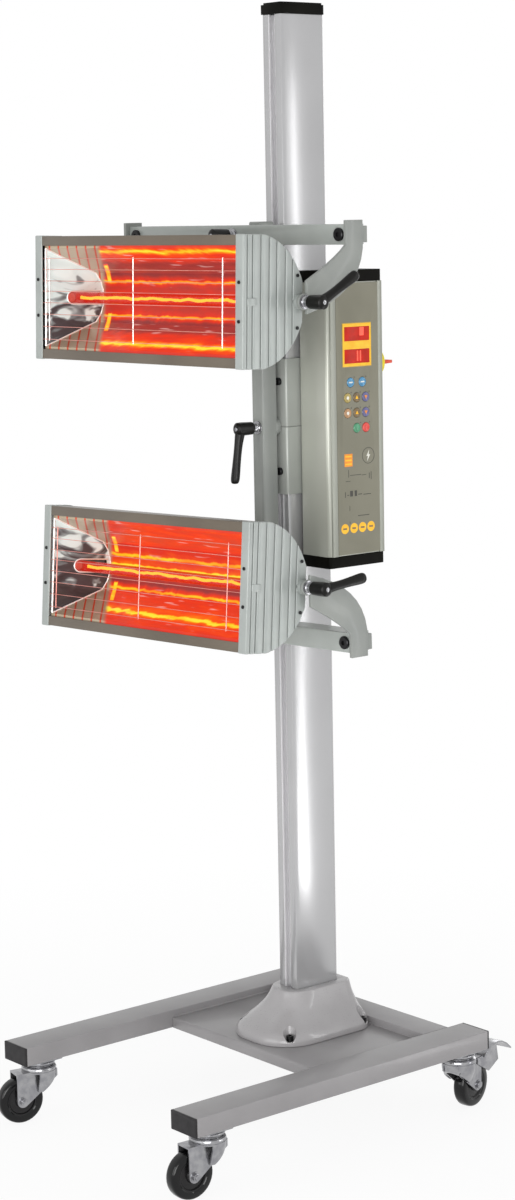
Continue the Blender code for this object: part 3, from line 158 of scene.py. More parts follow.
# Each look has two close colours that drift into each other. The sizes of the grain and of the clouds of colour
# and the grain's height (bump) are in millimetres; spread is how much the grain changes the roughness.
alongZ = (1.0, 1.0, 0.004)
printed = dict(roughness=0.40, grain=1.0, cloud=9, bump=0.005)
keyTop = dict(roughness=0.32, grain=1.0, cloud=5, bump=0.01, coat=0.4)
moulded = dict(roughness=0.34, spread=0.06, grain=1.4, cloud=20, bump=0.03)
boxProfile = dict(metallic=0.25, roughness=0.32, spread=0.06, grain=3.0, stretch=alongZ, cloud=160, bump=0.015)
looks = {
    # sprayed stoving enamel on steel tube: even grey, soft gloss, faint orange peel
    "greyEnamel": dict(colours=("#8c8a8b", "#848283"), specular=0.3, roughness=0.34, spread=0.10, grain=2.2,
                       cloud=90, bump=0.05, coat=0.1),
    # enamelled die-cast aluminium: light grey-green with a fine pebble
    "castEnamel": dict(colours=("#989d9a", "#919693"), metallic=0.1, roughness=0.34, spread=0.12, grain=1.6,
                       cloud=50, bump=0.06, coat=0.2),
    # the crossbars' coat: the same enamel, coloured paler as painted light that makes up for the cassettes' shade on
    # them
    "crossbarEnamel": dict(colours=("#a3a8a4", "#9ca19d"), metallic=0.1, roughness=0.34, spread=0.12, grain=1.6,
                           cloud=50, bump=0.06, coat=0.15),
    # the boom's and yokes' coat: the same enamel, coloured darker as painted shade
    "yokeEnamelPaintedShade": dict(colours=("#868985", "#808380"), specular=0.3, roughness=0.36, spread=0.10, grain=1.6,
                       cloud=60, bump=0.05, coat=0.1),
    # foot casting: the same spray as the base, a touch glossier, and coloured lighter as painted light
    "footEnamelPaintedLight": dict(colours=("#989697", "#918f90"), roughness=0.28, spread=0.04, grain=2.6, cloud=60,
                       bump=0.06, coat=0.3),
    # drawn aluminium, clear anodised: satin, with draw lines along the column
    "drawnAluminium": dict(colours=("#b0b0b1", "#a9a9aa"), metallic=0.5, roughness=0.22, spread=0.04, grain=3.0,
                           stretch=alongZ, cloud=200, bump=0.006),
    # the slot's walls: the same metal, duller, and coloured paler as painted light where no light falls straight on
    # them
    "slotAluminiumPaintedLight": dict(colours=("#d2d1d3", "#cac9cb"), roughness=0.45, spread=0.04, grain=3.0,
                          stretch=alongZ, cloud=200, bump=0.006),
    # carriage profile: blasted before anodising, so matt
    "mattAluminium": dict(colours=("#a3a6a1", "#9a9d98"), metallic=0.25, roughness=0.42, spread=0.06, grain=2.0,
                          stretch=(1.0, 1.0, 0.01), cloud=90, bump=0.01),
    # control box profile, anodised a warmer grey, and its raised rails, the same metal coloured darker as painted
    # shade
    "boxAluminium": dict(colours=("#adafa5", "#a5a79d"), **boxProfile),
    "railAluminiumPaintedShade": dict(colours=("#909289", "#888a81"), **boxProfile),
    # bronze anodised housing profile, drawn along the cassette
    "bronzeAnodised": dict(colours=("#665d51", "#5d5449"), metallic=0.3, roughness=0.36, spread=0.10, grain=2.0,
                           stretch=(0.01, 1.0, 1.0), cloud=120, bump=0.02),
    # zinc plated steel pressings: bright, a little cloudy
    "zincPlate": dict(colours=("#a2a2a4", "#8e8e92"), metallic=0.9, roughness=0.22, spread=0.14, grain=5.0,
                      cloud=14, bump=0.02),
    # painted highlight: a near-white finish that stands for the gleam of the upper uprights and the end plates'
    # folded edges
    "brightWire": dict(colours=("#f4f2f0", "#e8e4e0"), metallic=0.3, roughness=0.24, grain=3.0, cloud=30, bump=0.01),
    # guard wires, thin, with the red glow behind them painted into their colour as a painted reflection
    "glowTintedGuardWire": dict(colours=("#d79a90", "#c77f74"), metallic=0.4, roughness=0.30, grain=3.0, cloud=30, bump=0.01),
    # black oxide screws: oily, half gloss
    "blackSteel": dict(colours=("#1d1d1f", "#151516"), metallic=0.6, roughness=0.30, spread=0.10, grain=0.8,
                       cloud=8, bump=0.01),
    # glass filled nylon levers: black, half gloss, spark eroded grain
    "leverNylon": dict(colours=("#100f0d", "#0a0908"), specular=0.2, roughness=0.32, spread=0.12, grain=1.2,
                       cloud=20, bump=0.05),
    # moulded ABS caps and plugs
    "capPlastic": dict(colours=("#0e0d09", "#090806"), specular=0.06, roughness=0.50, spread=0.08, grain=1.4,
                       cloud=40, bump=0.05),
    "plugPlastic": dict(colours=("#2c2b2c", "#242324"), specular=0.15, roughness=0.40, spread=0.10, grain=1.6,
                        cloud=12, bump=0.06),
    # moulded polyurethane tread, and the polypropylene wheel centre
    "tyreBlack": dict(colours=("#0a0a0b", "#060607"), specular=0.3, roughness=0.12, spread=0.12, grain=1.8,
                      cloud=15, bump=0.04),
    "hubBlack": dict(colours=("#181718", "#121112"), specular=0.3, roughness=0.24, spread=0.10, grain=1.5,
                     cloud=10, bump=0.04),
    # steatite lamp ends: chalky, unglazed
    "steatite": dict(colours=("#d9d2c4", "#cbc3b3"), roughness=0.60, spread=0.08, grain=0.8, cloud=6, bump=0.05),
    # screen printed polyester foil on the panel, and its inks
    "panelFoil": dict(colours=("#727061", "#6c6a5b"), metallic=0.15, roughness=0.40, spread=0.06, grain=1.0,
                      cloud=70, bump=0.02),
    "printDark": dict(printed, colours=("#35332c", "#2e2c26"), roughness=0.45),
    "printPale": dict(printed, colours=("#d9d8cf", "#cfcec4"), roughness=0.45),
    "printYellow": dict(printed, colours=("#f0b81e", "#e8ac14")),
    "printOrange": dict(printed, colours=("#e08a1c", "#d67e12")),
    # moulded polycarbonate key tops: clear gloss over the colour
    "keyBlue": dict(keyTop, colours=("#3f84ad", "#35789f")),
    "keyOlive": dict(keyTop, colours=("#a3904d", "#96843f")),
    "keyAmber": dict(keyTop, colours=("#6f5a34", "#5e4c2c")),
    "keyViolet": dict(keyTop, colours=("#5a5a86", "#4d4d78")),
    "keyTan": dict(keyTop, colours=("#a87f56", "#9b7249")),
    "keyGreen": dict(keyTop, colours=("#3f8a63", "#357d57")),
    "keyRed": dict(keyTop, colours=("#cf3a2e", "#c13026")),
    # switch: yellow ABS plate, red grip
    "switchYellow": dict(moulded, colours=("#e6d400", "#dcc800")),
    "switchRed": dict(moulded, colours=("#d04a30", "#c23f28")),
    # red filter glass over lit figures that are too blurred to read
    "displayRed": dict(colours=("#8f120a", "#6f0d07"), specular=0.2, roughness=0.30, spread=0.03, grain=2.0,
                       cloud=14, bump=0.005, glow=("#e83214", 0.36)),
    "figureGlow": dict(colours=("#b4462c", "#a83c24"), roughness=0.30, spread=0.03, grain=2.0, cloud=6,
                       bump=0.005, glow=("#ff4a34", 0.8)),
    # lacquered circuit board behind the panel
    "boardGreen": dict(colours=("#1f5a37", "#17492c"), roughness=0.40, spread=0.08, grain=2.0, cloud=12, bump=0.03),
    # tungsten coil of the quartz lamp, glowing
    "filamentGlow": dict(colours=("#ffb030", "#ff9a20"), roughness=0.60, spread=0.02, grain=3.0, cloud=25,
                         bump=0.005, glow=("#ffc234", 2.6)),
}


def makeFinish(name, colours, roughness, grain, cloud, bump, spread=0.05, metallic=0.0, coat=0.0, specular=0.5,
               stretch=(1.0, 1.0, 1.0), glow=None):
    made, tree, shader = newFinish(name)
    where = addNode(tree, "TexCoord", {}).outputs["Object"]
    lie = addNode(tree, "Mapping", {"Scale": stretch, "Vector": where})
    fine = addNode(tree, "TexNoise", {"Scale": 1 / (grain * mm), "Detail": 3.0, "Vector": lie})
    broad = addNode(tree, "TexNoise", {"Scale": 1 / (cloud * mm), "Detail": 2.0, "Vector": where})
    contrast = addNode(tree, "MapRange", {"From Min": 0.35, "From Max": 0.65, "Value": broad})
    drift = addNode(tree, "Mix", {"data_type": "RGBA", 0: contrast, 6: linear(colours[0]), 7: linear(colours[1])})
    matt = addNode(tree, "MapRange", {"To Min": roughness - spread / 2, "To Max": roughness + spread / 2,
                                      "Value": fine})
    relief = addNode(tree, "Bump", {"Strength": 0.5, "Distance": bump * mm, "Height": fine})
    connect(tree, shader, {"Base Color": drift.outputs[2], "Roughness": matt, "Normal": relief,
                           "Metallic": metallic, "Coat Weight": coat, "Specular IOR Level": specular})
    if glow:
        connect(tree, shader, {"Emission Color": linear(glow[0]), "Emission Strength": glow[1]})
    return made


finishes = {name: makeFinish(name, **look) for name, look in looks.items()}


def levelled(tree, place):
    # the level cassette's own coordinates, whole and apart
    where = addNode(tree, "TexCoord", {})
    level = addNode(tree, "Mapping", {"vector_type": "TEXTURE", "Location": place.to_translation(),
                                      "Rotation": place.to_euler(), "Vector": where.outputs["Object"]})
    return level, addNode(tree, "SeparateXYZ", {"Vector": level}).outputs


# Polished reflector sheet, its glow painted on as emission: wine red, with painted wavy orange and yellow reflections
# of the hot coil
glow = dict(lengths(mouth=-98.5, start=(-104, -90), span=80, wave=26, waveHeight=7, ripple=8, rippleHeight=2.6,
                    cloud=16, streak=9, linePitch=24, corner=(-79, -72), cornerFade=(-5, 6),
                    cornerHeights=(21, 50), cornerEnd=4),
            sight=1.21, waveStretch=(1.0, 0.0, 0.12), cornerBrightness=0.92, cornerLean=0.25,
            cloudStretch=(0.25, 1.0, 1.0), streakStretch=(0.18, 1.0, 1.0),
            colours=((0.0, "#6d2a2c"), (0.16, "#8e3333"), (0.34, "#b8352b"), (0.52, "#e0301a"), (0.70, "#f5560f"),
                     (0.84, "#ff9416"), (0.94, "#ffc822"), (1.0, "#ffe53c")),
            pale="#e9c3bd", sheet="#3a1110", tan="#b5a58d", wireLines="#cf4a2c")
# heights of the coil's painted reflections above and below the tube, each as (millimetres, painted brightness)
paintedCoilImages = {
    "upper": ((-80, 0.42), (-73, 0.55), (-70.4, 0.80), (-69, 0.97), (-67, 0.97), (-65.4, 0.80), (-62, 0.55),
              (-55, 0.46), (-48, 0.14), (-37, 0.16), (-31.5, 0.52), (-29, 0.86), (-27.4, 0.86), (-25, 0.50),
              (-16, 0.38), (0, 0.60), (16, 0.36), (21, 0.48), (24.6, 0.86), (26.2, 0.86), (29, 0.48), (37, 0.16),
              (52, 0.12), (60, 0.46), (66, 0.55), (69, 0.80), (70.6, 0.97), (72.6, 0.97), (74, 0.80), (76, 0.58),
              (80, 0.48)),
    "lower": ((-80, 0.48), (-68, 0.52), (-65, 0.68), (-63, 0.98), (-60.6, 0.98), (-58.6, 0.68), (-50, 0.50),
              (-40, 0.50), (-36, 0.56), (-33.4, 0.90), (-32, 0.90), (-29, 0.55), (-22, 0.16), (-17, 0.26),
              (-8, 0.56), (-1, 0.62), (1.8, 0.97), (4.6, 0.97), (7.4, 0.66), (15, 0.56), (19.4, 0.90),
              (21.4, 0.90), (24.4, 0.58), (33, 0.48), (58, 0.44), (68, 0.50), (80, 0.52)),
}


def makePaintedGlowReflectorFinish(label, place):
    made, tree, shader = newFinish(label + "HotReflector")
    level, apart = levelled(tree, place)
    # how far along a point lies once its depth in the trough is allowed for
    slant = addNode(tree, "Math", {"operation": "MULTIPLY_ADD", 0: apart["Y"], 1: glow["sight"], 2: apart["X"]})
    ahead = addNode(tree, "Math", {"operation": "ADD", 0: slant, 1: -glow["sight"] * glow["mouth"]})
    along = addNode(tree, "Mapping", {"Scale": glow["waveStretch"], "Vector": level})
    waves = [addNode(tree, "TexNoise", {"Scale": 1 / glow[name], "Detail": detail, "Vector": along})
             for name, detail in (("wave", 1.0), ("ripple", 2.0))]
    swell, chop = [addNode(tree, "MapRange", {"To Min": -rise / 2, "To Max": rise / 2, "Value": wave})
                   for rise, wave in zip((glow["waveHeight"], glow["rippleHeight"]), waves)]
    moved = addNode(tree, "Math", {"operation": "ADD", 0: swell, 1: chop})
    height = addNode(tree, "Math", {"operation": "ADD", 0: moved, 1: apart["Z"]})
    share = addNode(tree, "MapRange", {"From Min": -glow["span"], "From Max": glow["span"], "Value": height})
    stops = [((up * mm + glow["span"]) / (2 * glow["span"]), (paintedBrightness, paintedBrightness, paintedBrightness, 1.0)) for up, paintedBrightness in paintedCoilImages[label]]
    bands = ramp(tree, share, stops)
    bands.color_ramp.interpolation = "EASE"
    # painted upright reflections of the coil where the trough's walls meet its left end
    upwards = addNode(tree, "Math", {"operation": "ABSOLUTE", 0: height})
    leant = addNode(tree, "Math", {"operation": "MULTIPLY_ADD", 0: upwards, 1: glow["cornerLean"], 2: ahead})
    cornerFrom, cornerTo = [addNode(tree, "MapRange", {"interpolation_type": "SMOOTHSTEP", "From Min": edge + fade,
                                                       "From Max": edge, "Value": leant})
                            for edge, fade in zip(glow["corner"], glow["cornerFade"])]
    low, high = glow["cornerHeights"]
    above = addNode(tree, "MapRange", {"From Min": low, "To Max": glow["cornerBrightness"],
                                       "From Max": low + glow["cornerEnd"], "Value": upwards})
    below = addNode(tree, "MapRange", {"From Min": high + glow["cornerEnd"], "From Max": high, "Value": upwards})
    sides = addNode(tree, "Math", {"operation": "MULTIPLY", 0: cornerFrom, 1: cornerTo})
    ends = addNode(tree, "Math", {"operation": "MULTIPLY", 0: above, 1: below})
    corner = addNode(tree, "Math", {"operation": "MULTIPLY", 0: sides, 1: ends})
    # cloudy red painted glow between the painted reflections
    flow = addNode(tree, "Mapping", {"Scale": glow["cloudStretch"], "Vector": level})
    cloud = addNode(tree, "TexNoise", {"Scale": 1 / glow["cloud"], "Detail": 2.0, "Vector": flow})
    drift = addNode(tree, "MapRange", {"From Min": 0.3, "From Max": 0.7, "To Min": -0.07, "To Max": 0.09,
                                       "Value": cloud})
    brightestPainted = addNode(tree, "Math", {"operation": "MAXIMUM", 0: bands, 1: corner})
    paintedBrightness = addNode(tree, "Math", {"operation": "ADD", 0: brightestPainted, 1: drift})
    shine = ramp(tree, paintedBrightness, glow["colours"])
    # painted pale reflections of the room, in streaks
    thin = addNode(tree, "Mapping", {"Scale": glow["streakStretch"], "Vector": level})
    streak = addNode(tree, "TexNoise", {"Scale": 1 / glow["streak"], "Detail": 1.0, "Vector": thin})
    pale = addNode(tree, "MapRange", {"From Min": 0.66, "From Max": 0.76, "To Max": 0.55, "Value": streak})
    washed = addNode(tree, "Mix", {"data_type": "RGBA", 0: pale, 6: shine, 7: linear(glow["pale"])})
    lit = addNode(tree, "MapRange", {"interpolation_type": "SMOOTHSTEP", "From Min": glow["start"][0],
                                     "From Max": glow["start"][1], "Value": ahead})
    # the end of the walls without the painted glow: a tan painted reflection, with painted reflections of the guard
    # wires in it
    across = addNode(tree, "CombineXYZ", {"X": ahead})
    lines = addNode(tree, "TexWave", {"Scale": math.tau / (20 * glow["linePitch"]), "Vector": across})
    fine = addNode(tree, "MapRange", {"From Min": 0.88, "From Max": 0.95, "Value": lines.outputs["Fac"]})
    wired = addNode(tree, "Mix", {"data_type": "RGBA", 0: fine, 6: linear(glow["tan"]), 7: linear(glow["wireLines"])})
    sheet = addNode(tree, "Mix", {"data_type": "RGBA", 0: lit, 6: wired.outputs[2], 7: linear(glow["sheet"])})
    # the painted reflections shine as emission where the painted glow is, over a dark red sheet
    connect(tree, shader, {"Base Color": sheet.outputs[2], "Emission Color": washed.outputs[2],
                           "Emission Strength": lit, "Metallic": 0.3, "Roughness": 0.30, "Specular IOR Level": 0.25})
    return made


# Polished end plates: crumpled mirror with a painted reflection, bright above and dark below
mirror = {"fold": 24 * mm, "foldStretch": (1.0, 0.35, 1.0), "foldHeight": 2.4 * mm, "half": 80 * mm,
          "tones": (-0.26, 0.24), "lean": {"upper": 0.02, "lower": -0.10}, "metallic": 0.08, "roughness": 0.24,
          "colours": ((0.0, "#1b1b1d"), (0.38, "#47474a"), (0.45, "#7f8e90"), (0.51, "#cfe6e6"), (1.0, "#e6fafa"))}


def makePaintedReflectionMirrorFinish(label, place):
    made, tree, shader = newFinish(label + "EndMirror")
    level, apart = levelled(tree, place)
    flow = addNode(tree, "Mapping", {"Scale": mirror["foldStretch"], "Vector": level})
    fold = addNode(tree, "TexNoise", {"Scale": 1 / mirror["fold"], "Detail": 2.0, "Distortion": 1.2, "Vector": flow})
    dark, bright = (tone + mirror["lean"][label] for tone in mirror["tones"])
    rise = addNode(tree, "MapRange", {"From Min": -mirror["half"], "From Max": mirror["half"], "To Min": dark,
                                      "To Max": bright, "Value": apart["Z"]})
    shade = addNode(tree, "Math", {"operation": "ADD", 0: fold, 1: rise})
    tone = ramp(tree, shade, mirror["colours"])
    relief = addNode(tree, "Bump", {"Strength": 0.4, "Distance": mirror["foldHeight"], "Height": fold})
    connect(tree, shader, {"Base Color": tone, "Normal": relief, "Metallic": mirror["metallic"],
                           "Roughness": mirror["roughness"]})
    return made


# Ruby quartz tube: red glow that deepens at the rim, under a clear glossy skin
quartz = {"centre": "#f02a08", "rim": "#a3150b", "skin": "#3a0805", "cloud": 11 * mm, "clear": 0.35}


def makeQuartzFinish():
    made, tree, shader = newFinish("quartzTube")
    where = addNode(tree, "TexCoord", {}).outputs["Object"]
    cloud = addNode(tree, "TexNoise", {"Scale": 1 / quartz["cloud"], "Detail": 1.0, "Vector": where})
    edge = addNode(tree, "LayerWeight", {"Blend": 0.35})
    both = addNode(tree, "Math", {"operation": "MULTIPLY_ADD", 0: cloud, 1: 0.3, 2: edge.outputs["Facing"]})
    tone = addNode(tree, "Mix", {"data_type": "RGBA", 0: both, 6: linear(quartz["centre"]), 7: linear(quartz["rim"])})
    connect(tree, shader, {"Emission Color": tone.outputs[2], "Emission Strength": 1.0, "Roughness": 0.07,
                           "Base Color": linear(quartz["skin"]), "Alpha": 1.0 - quartz["clear"]})
    return made


for cassetteName, cassettePlace in cassettePlaces.items():
    finishes[cassetteName + "HotReflector"] = makePaintedGlowReflectorFinish(cassetteName, cassettePlace)
    finishes[cassetteName + "EndMirror"] = makePaintedReflectionMirrorFinish(cassetteName, cassettePlace)
finishes["quartzTube"] = makeQuartzFinish()
print("materials made:", len(finishes))


# Modelling helpers
def only(*things):
    bpy.ops.object.select_all(action="DESELECT")
    for thing in things:
        thing.select_set(True)
    bpy.context.view_layer.objects.active = things[0]


def applyPlace():
    bpy.ops.object.transform_apply(location=True, rotation=True, scale=True)
    return bpy.context.active_object


def block(low, high):
    bpy.ops.mesh.primitive_cube_add(size=1, location=(Vector(low) + Vector(high)) / 2,
                                    scale=Vector(high) - Vector(low))
    return applyPlace()


def rod(start, end, radius, sides=24):
    along = Vector(end) - Vector(start)
    bpy.ops.mesh.primitive_cylinder_add(vertices=sides, radius=radius, depth=along.length,
                                        location=(Vector(start) + Vector(end)) / 2,
                                        rotation=along.to_track_quat("Z", "Y").to_euler())
    return applyPlace()


def openEdit(piece, kind, wanted):
    only(piece)
    bpy.ops.object.mode_set(mode="EDIT")
    bpy.ops.mesh.select_mode(type=kind)
    bpy.ops.mesh.select_all(action="DESELECT")
    work = bmesh.from_edit_mesh(piece.data)
    for item in {"VERT": work.verts, "EDGE": work.edges, "FACE": work.faces}[kind]:
        if wanted(item):
            item.select_set(True)
    work.select_flush_mode()
    bmesh.update_edit_mesh(piece.data)


def closeEdit():
    bpy.ops.object.mode_set(mode="OBJECT")


def extrude(step):
    bpy.ops.mesh.extrude_region_move(TRANSFORM_OT_translate={"value": step})


def faceOutwards(inside=False):
    bpy.ops.mesh.select_all(action="SELECT")
    bpy.ops.mesh.normals_make_consistent(inside=inside)


def bevelAlong(piece, axis, width, segments, wanted=lambda edge: True):
    # rounds the edges that run along an axis
    openEdit(piece, "EDGE", lambda edge: abs((edge.verts[1].co - edge.verts[0].co).normalized()[axis]) > 0.9
             and wanted(edge))
    bpy.ops.mesh.bevel(offset=width, segments=segments, affect="EDGES")
    closeEdit()
    return piece


def traced(points):
    # a chain of edges, drawn by extruding one vertex from point to point; it is left open in edit mode
    bpy.ops.mesh.primitive_plane_add(size=mm, location=points[0])
    piece = applyPlace()
    bpy.ops.object.mode_set(mode="EDIT")
    bpy.ops.mesh.select_mode(type="VERT")
    bpy.ops.mesh.select_all(action="SELECT")
    bpy.ops.mesh.merge(type="CENTER")
    for before, after in zip(points, points[1:]):
        step = Vector(after) - Vector(before)
        bpy.ops.mesh.extrude_vertices_move(TRANSFORM_OT_translate={"value": step})
    bpy.ops.mesh.select_all(action="SELECT")
    return piece


def plate(points, thickness):
    piece = traced(points)
    bpy.ops.mesh.edge_face_add()
    extrude(thickness)
    faceOutwards()
    closeEdit()
    return piece


def slab(start, outline, thickness):
    # an outline of (y, z) points, thickened along X
    return plate([(start, along, up) for along, up in outline], (thickness, 0.0, 0.0))


def bothHalves(upper):
    return upper + [(along, -up) for along, up in reversed(upper)]


def turned(profile, steps=32):
    # spins a profile of (radius, height) about Z
    piece = traced([(radius, 0.0, height) for radius, height in profile])
    bpy.ops.mesh.spin(steps=steps, angle=math.tau, center=(0.0, 0.0, 0.0), axis=(0.0, 0.0, 1.0))
    bpy.ops.mesh.select_all(action="SELECT")
    bpy.ops.mesh.remove_doubles(threshold=0.01 * mm)
    faceOutwards()
    closeEdit()
    return piece


def applied(piece, kind, settings):
    only(piece)
    step = piece.modifiers.new(kind.lower(), kind)
    for name, value in settings.items():
        setattr(step, name, value)
    bpy.ops.object.modifier_apply(modifier=step.name)
    return piece


def rounded(piece, width, segments=2, angle=30):
    return applied(piece, "BEVEL", {"width": width, "segments": segments, "limit_method": "ANGLE",
                                    "angle_limit": math.radians(angle), "use_clamp_overlap": True})


def discard(*models):
    for model in models:
        bpy.data.objects.remove(model)


def cutOut(piece, tool, operation="DIFFERENCE"):
    applied(piece, "BOOLEAN", {"operation": operation, "object": tool, "solver": "EXACT"})
    discard(tool)
    return piece


def joined(pieces):
    only(*pieces)
    if len(pieces) > 1:
        bpy.ops.object.join()
    return bpy.context.active_object


def linked(name, mesh):
    piece = bpy.data.objects.new(name, mesh)
    bpy.context.scene.collection.objects.link(piece)
    return piece


def copied(piece, place):
    twin = linked(piece.name, piece.data.copy())
    twin.data.transform(place)
    if place.determinant() < 0:
        twin.data.flip_normals()
    return twin


def aimed(point, outward):
    return Matrix.Translation(point) @ Vector(outward).to_track_quat("Z", "Y").to_matrix().to_4x4()


def dress(piece, name, body, slot, finish, stands=(), smooth=35):
    only(piece)
    piece.name = name
    piece.data.name = name
    piece.data.materials.clear()
    piece.data.materials.append(finishes[finish])
    bpy.ops.object.shade_smooth_by_angle(angle=math.radians(smooth))
    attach(piece, body)
    if stands:
        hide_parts(*stands)
    return piece


def carried(node, finish):
    # a CAD node that stays, with its real finish
    piece = frame["nodes"][node]
    piece.data.materials.clear()
    piece.data.materials.append(finishes[finish])


def merged(node, name):
    # a copy of a node's mesh with its loose triangles merged; it is left open in edit mode
    piece = linked(name, frame["nodes"][node].data.copy())
    openEdit(piece, "FACE", lambda face: True)
    bpy.ops.mesh.remove_doubles(threshold=0.01 * mm)
    return piece


def flattened():
    bpy.ops.mesh.dissolve_limited(angle_limit=math.radians(0.5))
    closeEdit()


def camelled(name):
    first, *others = name.split("_")
    return first + "".join(word.capitalize() for word in others)


def softened(node, slot, finish, width, segments=2, angle=30, name=None):
    # the node's own shape with its sharp edges rounded, in the node's place
    name = name or camelled(node)
    piece = merged(node, name)
    flattened()
    rounded(piece, width, segments, angle)
    return dress(piece, name, frame["nodes"][node]["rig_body"], slot, finish, (node,))


def screwModel(radius, height, socket):
    # a cap screw's head along Z from its seat, with a six-sided socket
    rim = radius * 0.12
    head = turned([(0.0, 0.0), (radius, 0.0), (radius, height - rim), (radius - rim, height), (0.0, height)], 28)
    recess = rod((0.0, 0.0, height * 0.45), (0.0, 0.0, height * 1.5), socket, 6)
    return cutOut(head, recess)


def screws(name, sizes, places, body):
    model = screwModel(*sizes)
    dress(joined([copied(model, place) for place in places]), name, body, "black_plastic", "blackSteel")
    discard(model)


def bend(start, control, end, steps):
    shares = [index / steps for index in range(steps + 1)]
    return [tuple(a * (1 - t) ** 2 + b * 2 * t * (1 - t) + c * t ** 2 for a, b, c in zip(start, control, end))
            for t in shares]


def arc(centre, radius, start, end, steps):
    angles = [math.radians(start + (end - start) * index / steps) for index in range(steps + 1)]
    return [(centre[0] + radius * math.cos(angle), centre[1] + radius * math.sin(angle)) for angle in angles]


bpy.ops.object.select_all(action="DESELECT")


# Base: two tubes with end plugs, a cross tube, and a sunken tray welded between them
base = lengths(legHalfWidth=30, legSpread=219, legFront=-330.6, legRear=268.4, low=103, high=133, corner=1.4,
               plugGap=0.05, plugProud=3, plugMargin=-0.1, plugRim=5, plugDish=0.5, dishReach=9, crossFront=182.4,
               crossRear=237.4, weld=2, weldInset=0.4, weldStart=6, weldEnd=3, trayTop=121, trayFront=-36.6)


def makeTube(low, high, axis, name, node):
    tube = bevelAlong(block(low, high), axis, base["corner"], 3)
    dress(tube, name, "frame", "base_paint", "greyEnamel", (node,))


def plugModel(low, high, end, outward):
    margin, rim = base["plugMargin"], base["plugRim"]
    ends = sorted((end + outward * base["plugGap"], end + outward * base["plugProud"]))
    plug = block((low[0] + margin, ends[0], low[2] + margin), (high[0] - margin, ends[1], high[2] - margin))
    bevelAlong(plug, 1, base["corner"] - margin, 3)
    rounded(plug, 0.5 * mm, 2, 40)
    dish = block((low[0] + rim, end + outward * (base["plugProud"] - base["plugDish"]), low[2] + rim),
                 (high[0] - rim, end + outward * base["dishReach"], high[2] - rim))
    return cutOut(plug, dish)


def makeBase():
    plugs = []
    for name, side in (("left", -1), ("right", 1)):
        middle = columnAxis.x + side * base["legSpread"]
        low = (middle - base["legHalfWidth"], base["legFront"], base["low"])
        high = (middle + base["legHalfWidth"], base["legRear"], base["high"])
        makeTube(low, high, 1, name + "LegTube", name + "_leg")
        plugs += [plugModel(low, high, end, outward) for end, outward in ((low[1], -1), (high[1], 1))]
    dress(joined(plugs), "legEndPlugs", "frame", "black_plastic", "plugPlastic")

    inner = base["legSpread"] - base["legHalfWidth"]
    left, right = columnAxis.x - inner, columnAxis.x + inner
    front, rear, top, weld = (base[name] for name in ("crossFront", "crossRear", "trayTop", "weld"))
    makeTube((left, front, base["low"]), (right, rear, base["high"]), 0, "rearCrossTube", "rear_cross_tube")
    softened("base_tray", "base_paint", "greyEnamel", 0.6 * mm, name="sunkenTray")
    # fillet welds along the tray's sides and round the cross tube's ends
    beads = []
    for seam in (left + base["weldInset"], right - base["weldInset"]):
        beads.append(((seam, base["trayFront"] + base["weldStart"], top), (seam, front, top), weld))
        beads += [((seam, along, base["low"] + base["weldEnd"]), (seam, along, base["high"] - base["weldEnd"]),
                   weld * 0.7) for along in (front, rear)]
    beads.append(((left, front, top), (right, front, top), weld * 0.8))
    dress(joined([rod(*bead, 10) for bead in beads]), "weldBeads", "frame", "base_paint", "greyEnamel")


makeBase()
print("base made")


# Column: a drawn profile with a T-slot in its narrow front
column = lengths(frontHalf=21, half=24, halfDepth=43, curve=37, corner=4, slotHalf=13.5, slotDepth=12.4)


def columnOutline(grow):
    front, rear = -column["halfDepth"] - grow, column["halfDepth"] + grow
    half, radius = column["half"] + grow, column["corner"] + grow
    side = bend((column["frontHalf"] + grow, front), (half, front + column["curve"] / 2),
                (half, front + column["curve"]), 10)
    right = side + arc((half - radius, rear - radius), radius, 0, 90, 5)
    return right + [(-across, along) for across, along in reversed(right)]


def makeColumn():
    profile = softened("column", "bare_aluminium", "drawnAluminium", 0.5 * mm, 2, 35, "columnProfile")
    # the slot's walls take a paler copy of the metal: painted light inside the slot
    profile.data.materials.append(finishes["slotAluminiumPaintedLight"])
    reach = column["slotDepth"] / 2
    for side in profile.data.polygons:
        inward = side.center - columnAxis
        if abs(inward.x) < column["slotHalf"] and abs(inward.y + column["halfDepth"] - reach) < reach:
            side.material_index = 1
    softened("column_top_cap", "black_plastic", "capPlastic", 0.5 * mm)


# Column foot: a flared casting drawn up in steps, each as (share of the way out from the collar, rise)
foot = dict(lengths(halfWidth=80, front=-125, rear=76, bottom=121.3, edge=7, flare=52, collarHalfWidth=39,
                    collarHalfLength=64, frontCorner=66, rearCorner=32, seatGap=0.4, boltSpreads=(59, 68),
                    boltRows=(-92, 58), bolt=(5.6, 9, 3.2), boltSeat=129.3, boltRoom=5),
            steps=((0.985, 0.06), (0.95, 0.14), (0.88, 0.23), (0.78, 0.32), (0.66, 0.42), (0.54, 0.52), (0.42, 0.63),
                   (0.31, 0.75), (0.21, 0.87), (0.13, 1.0), (0.07, 1.12), (0.03, 1.22), (0.0, 1.30)))


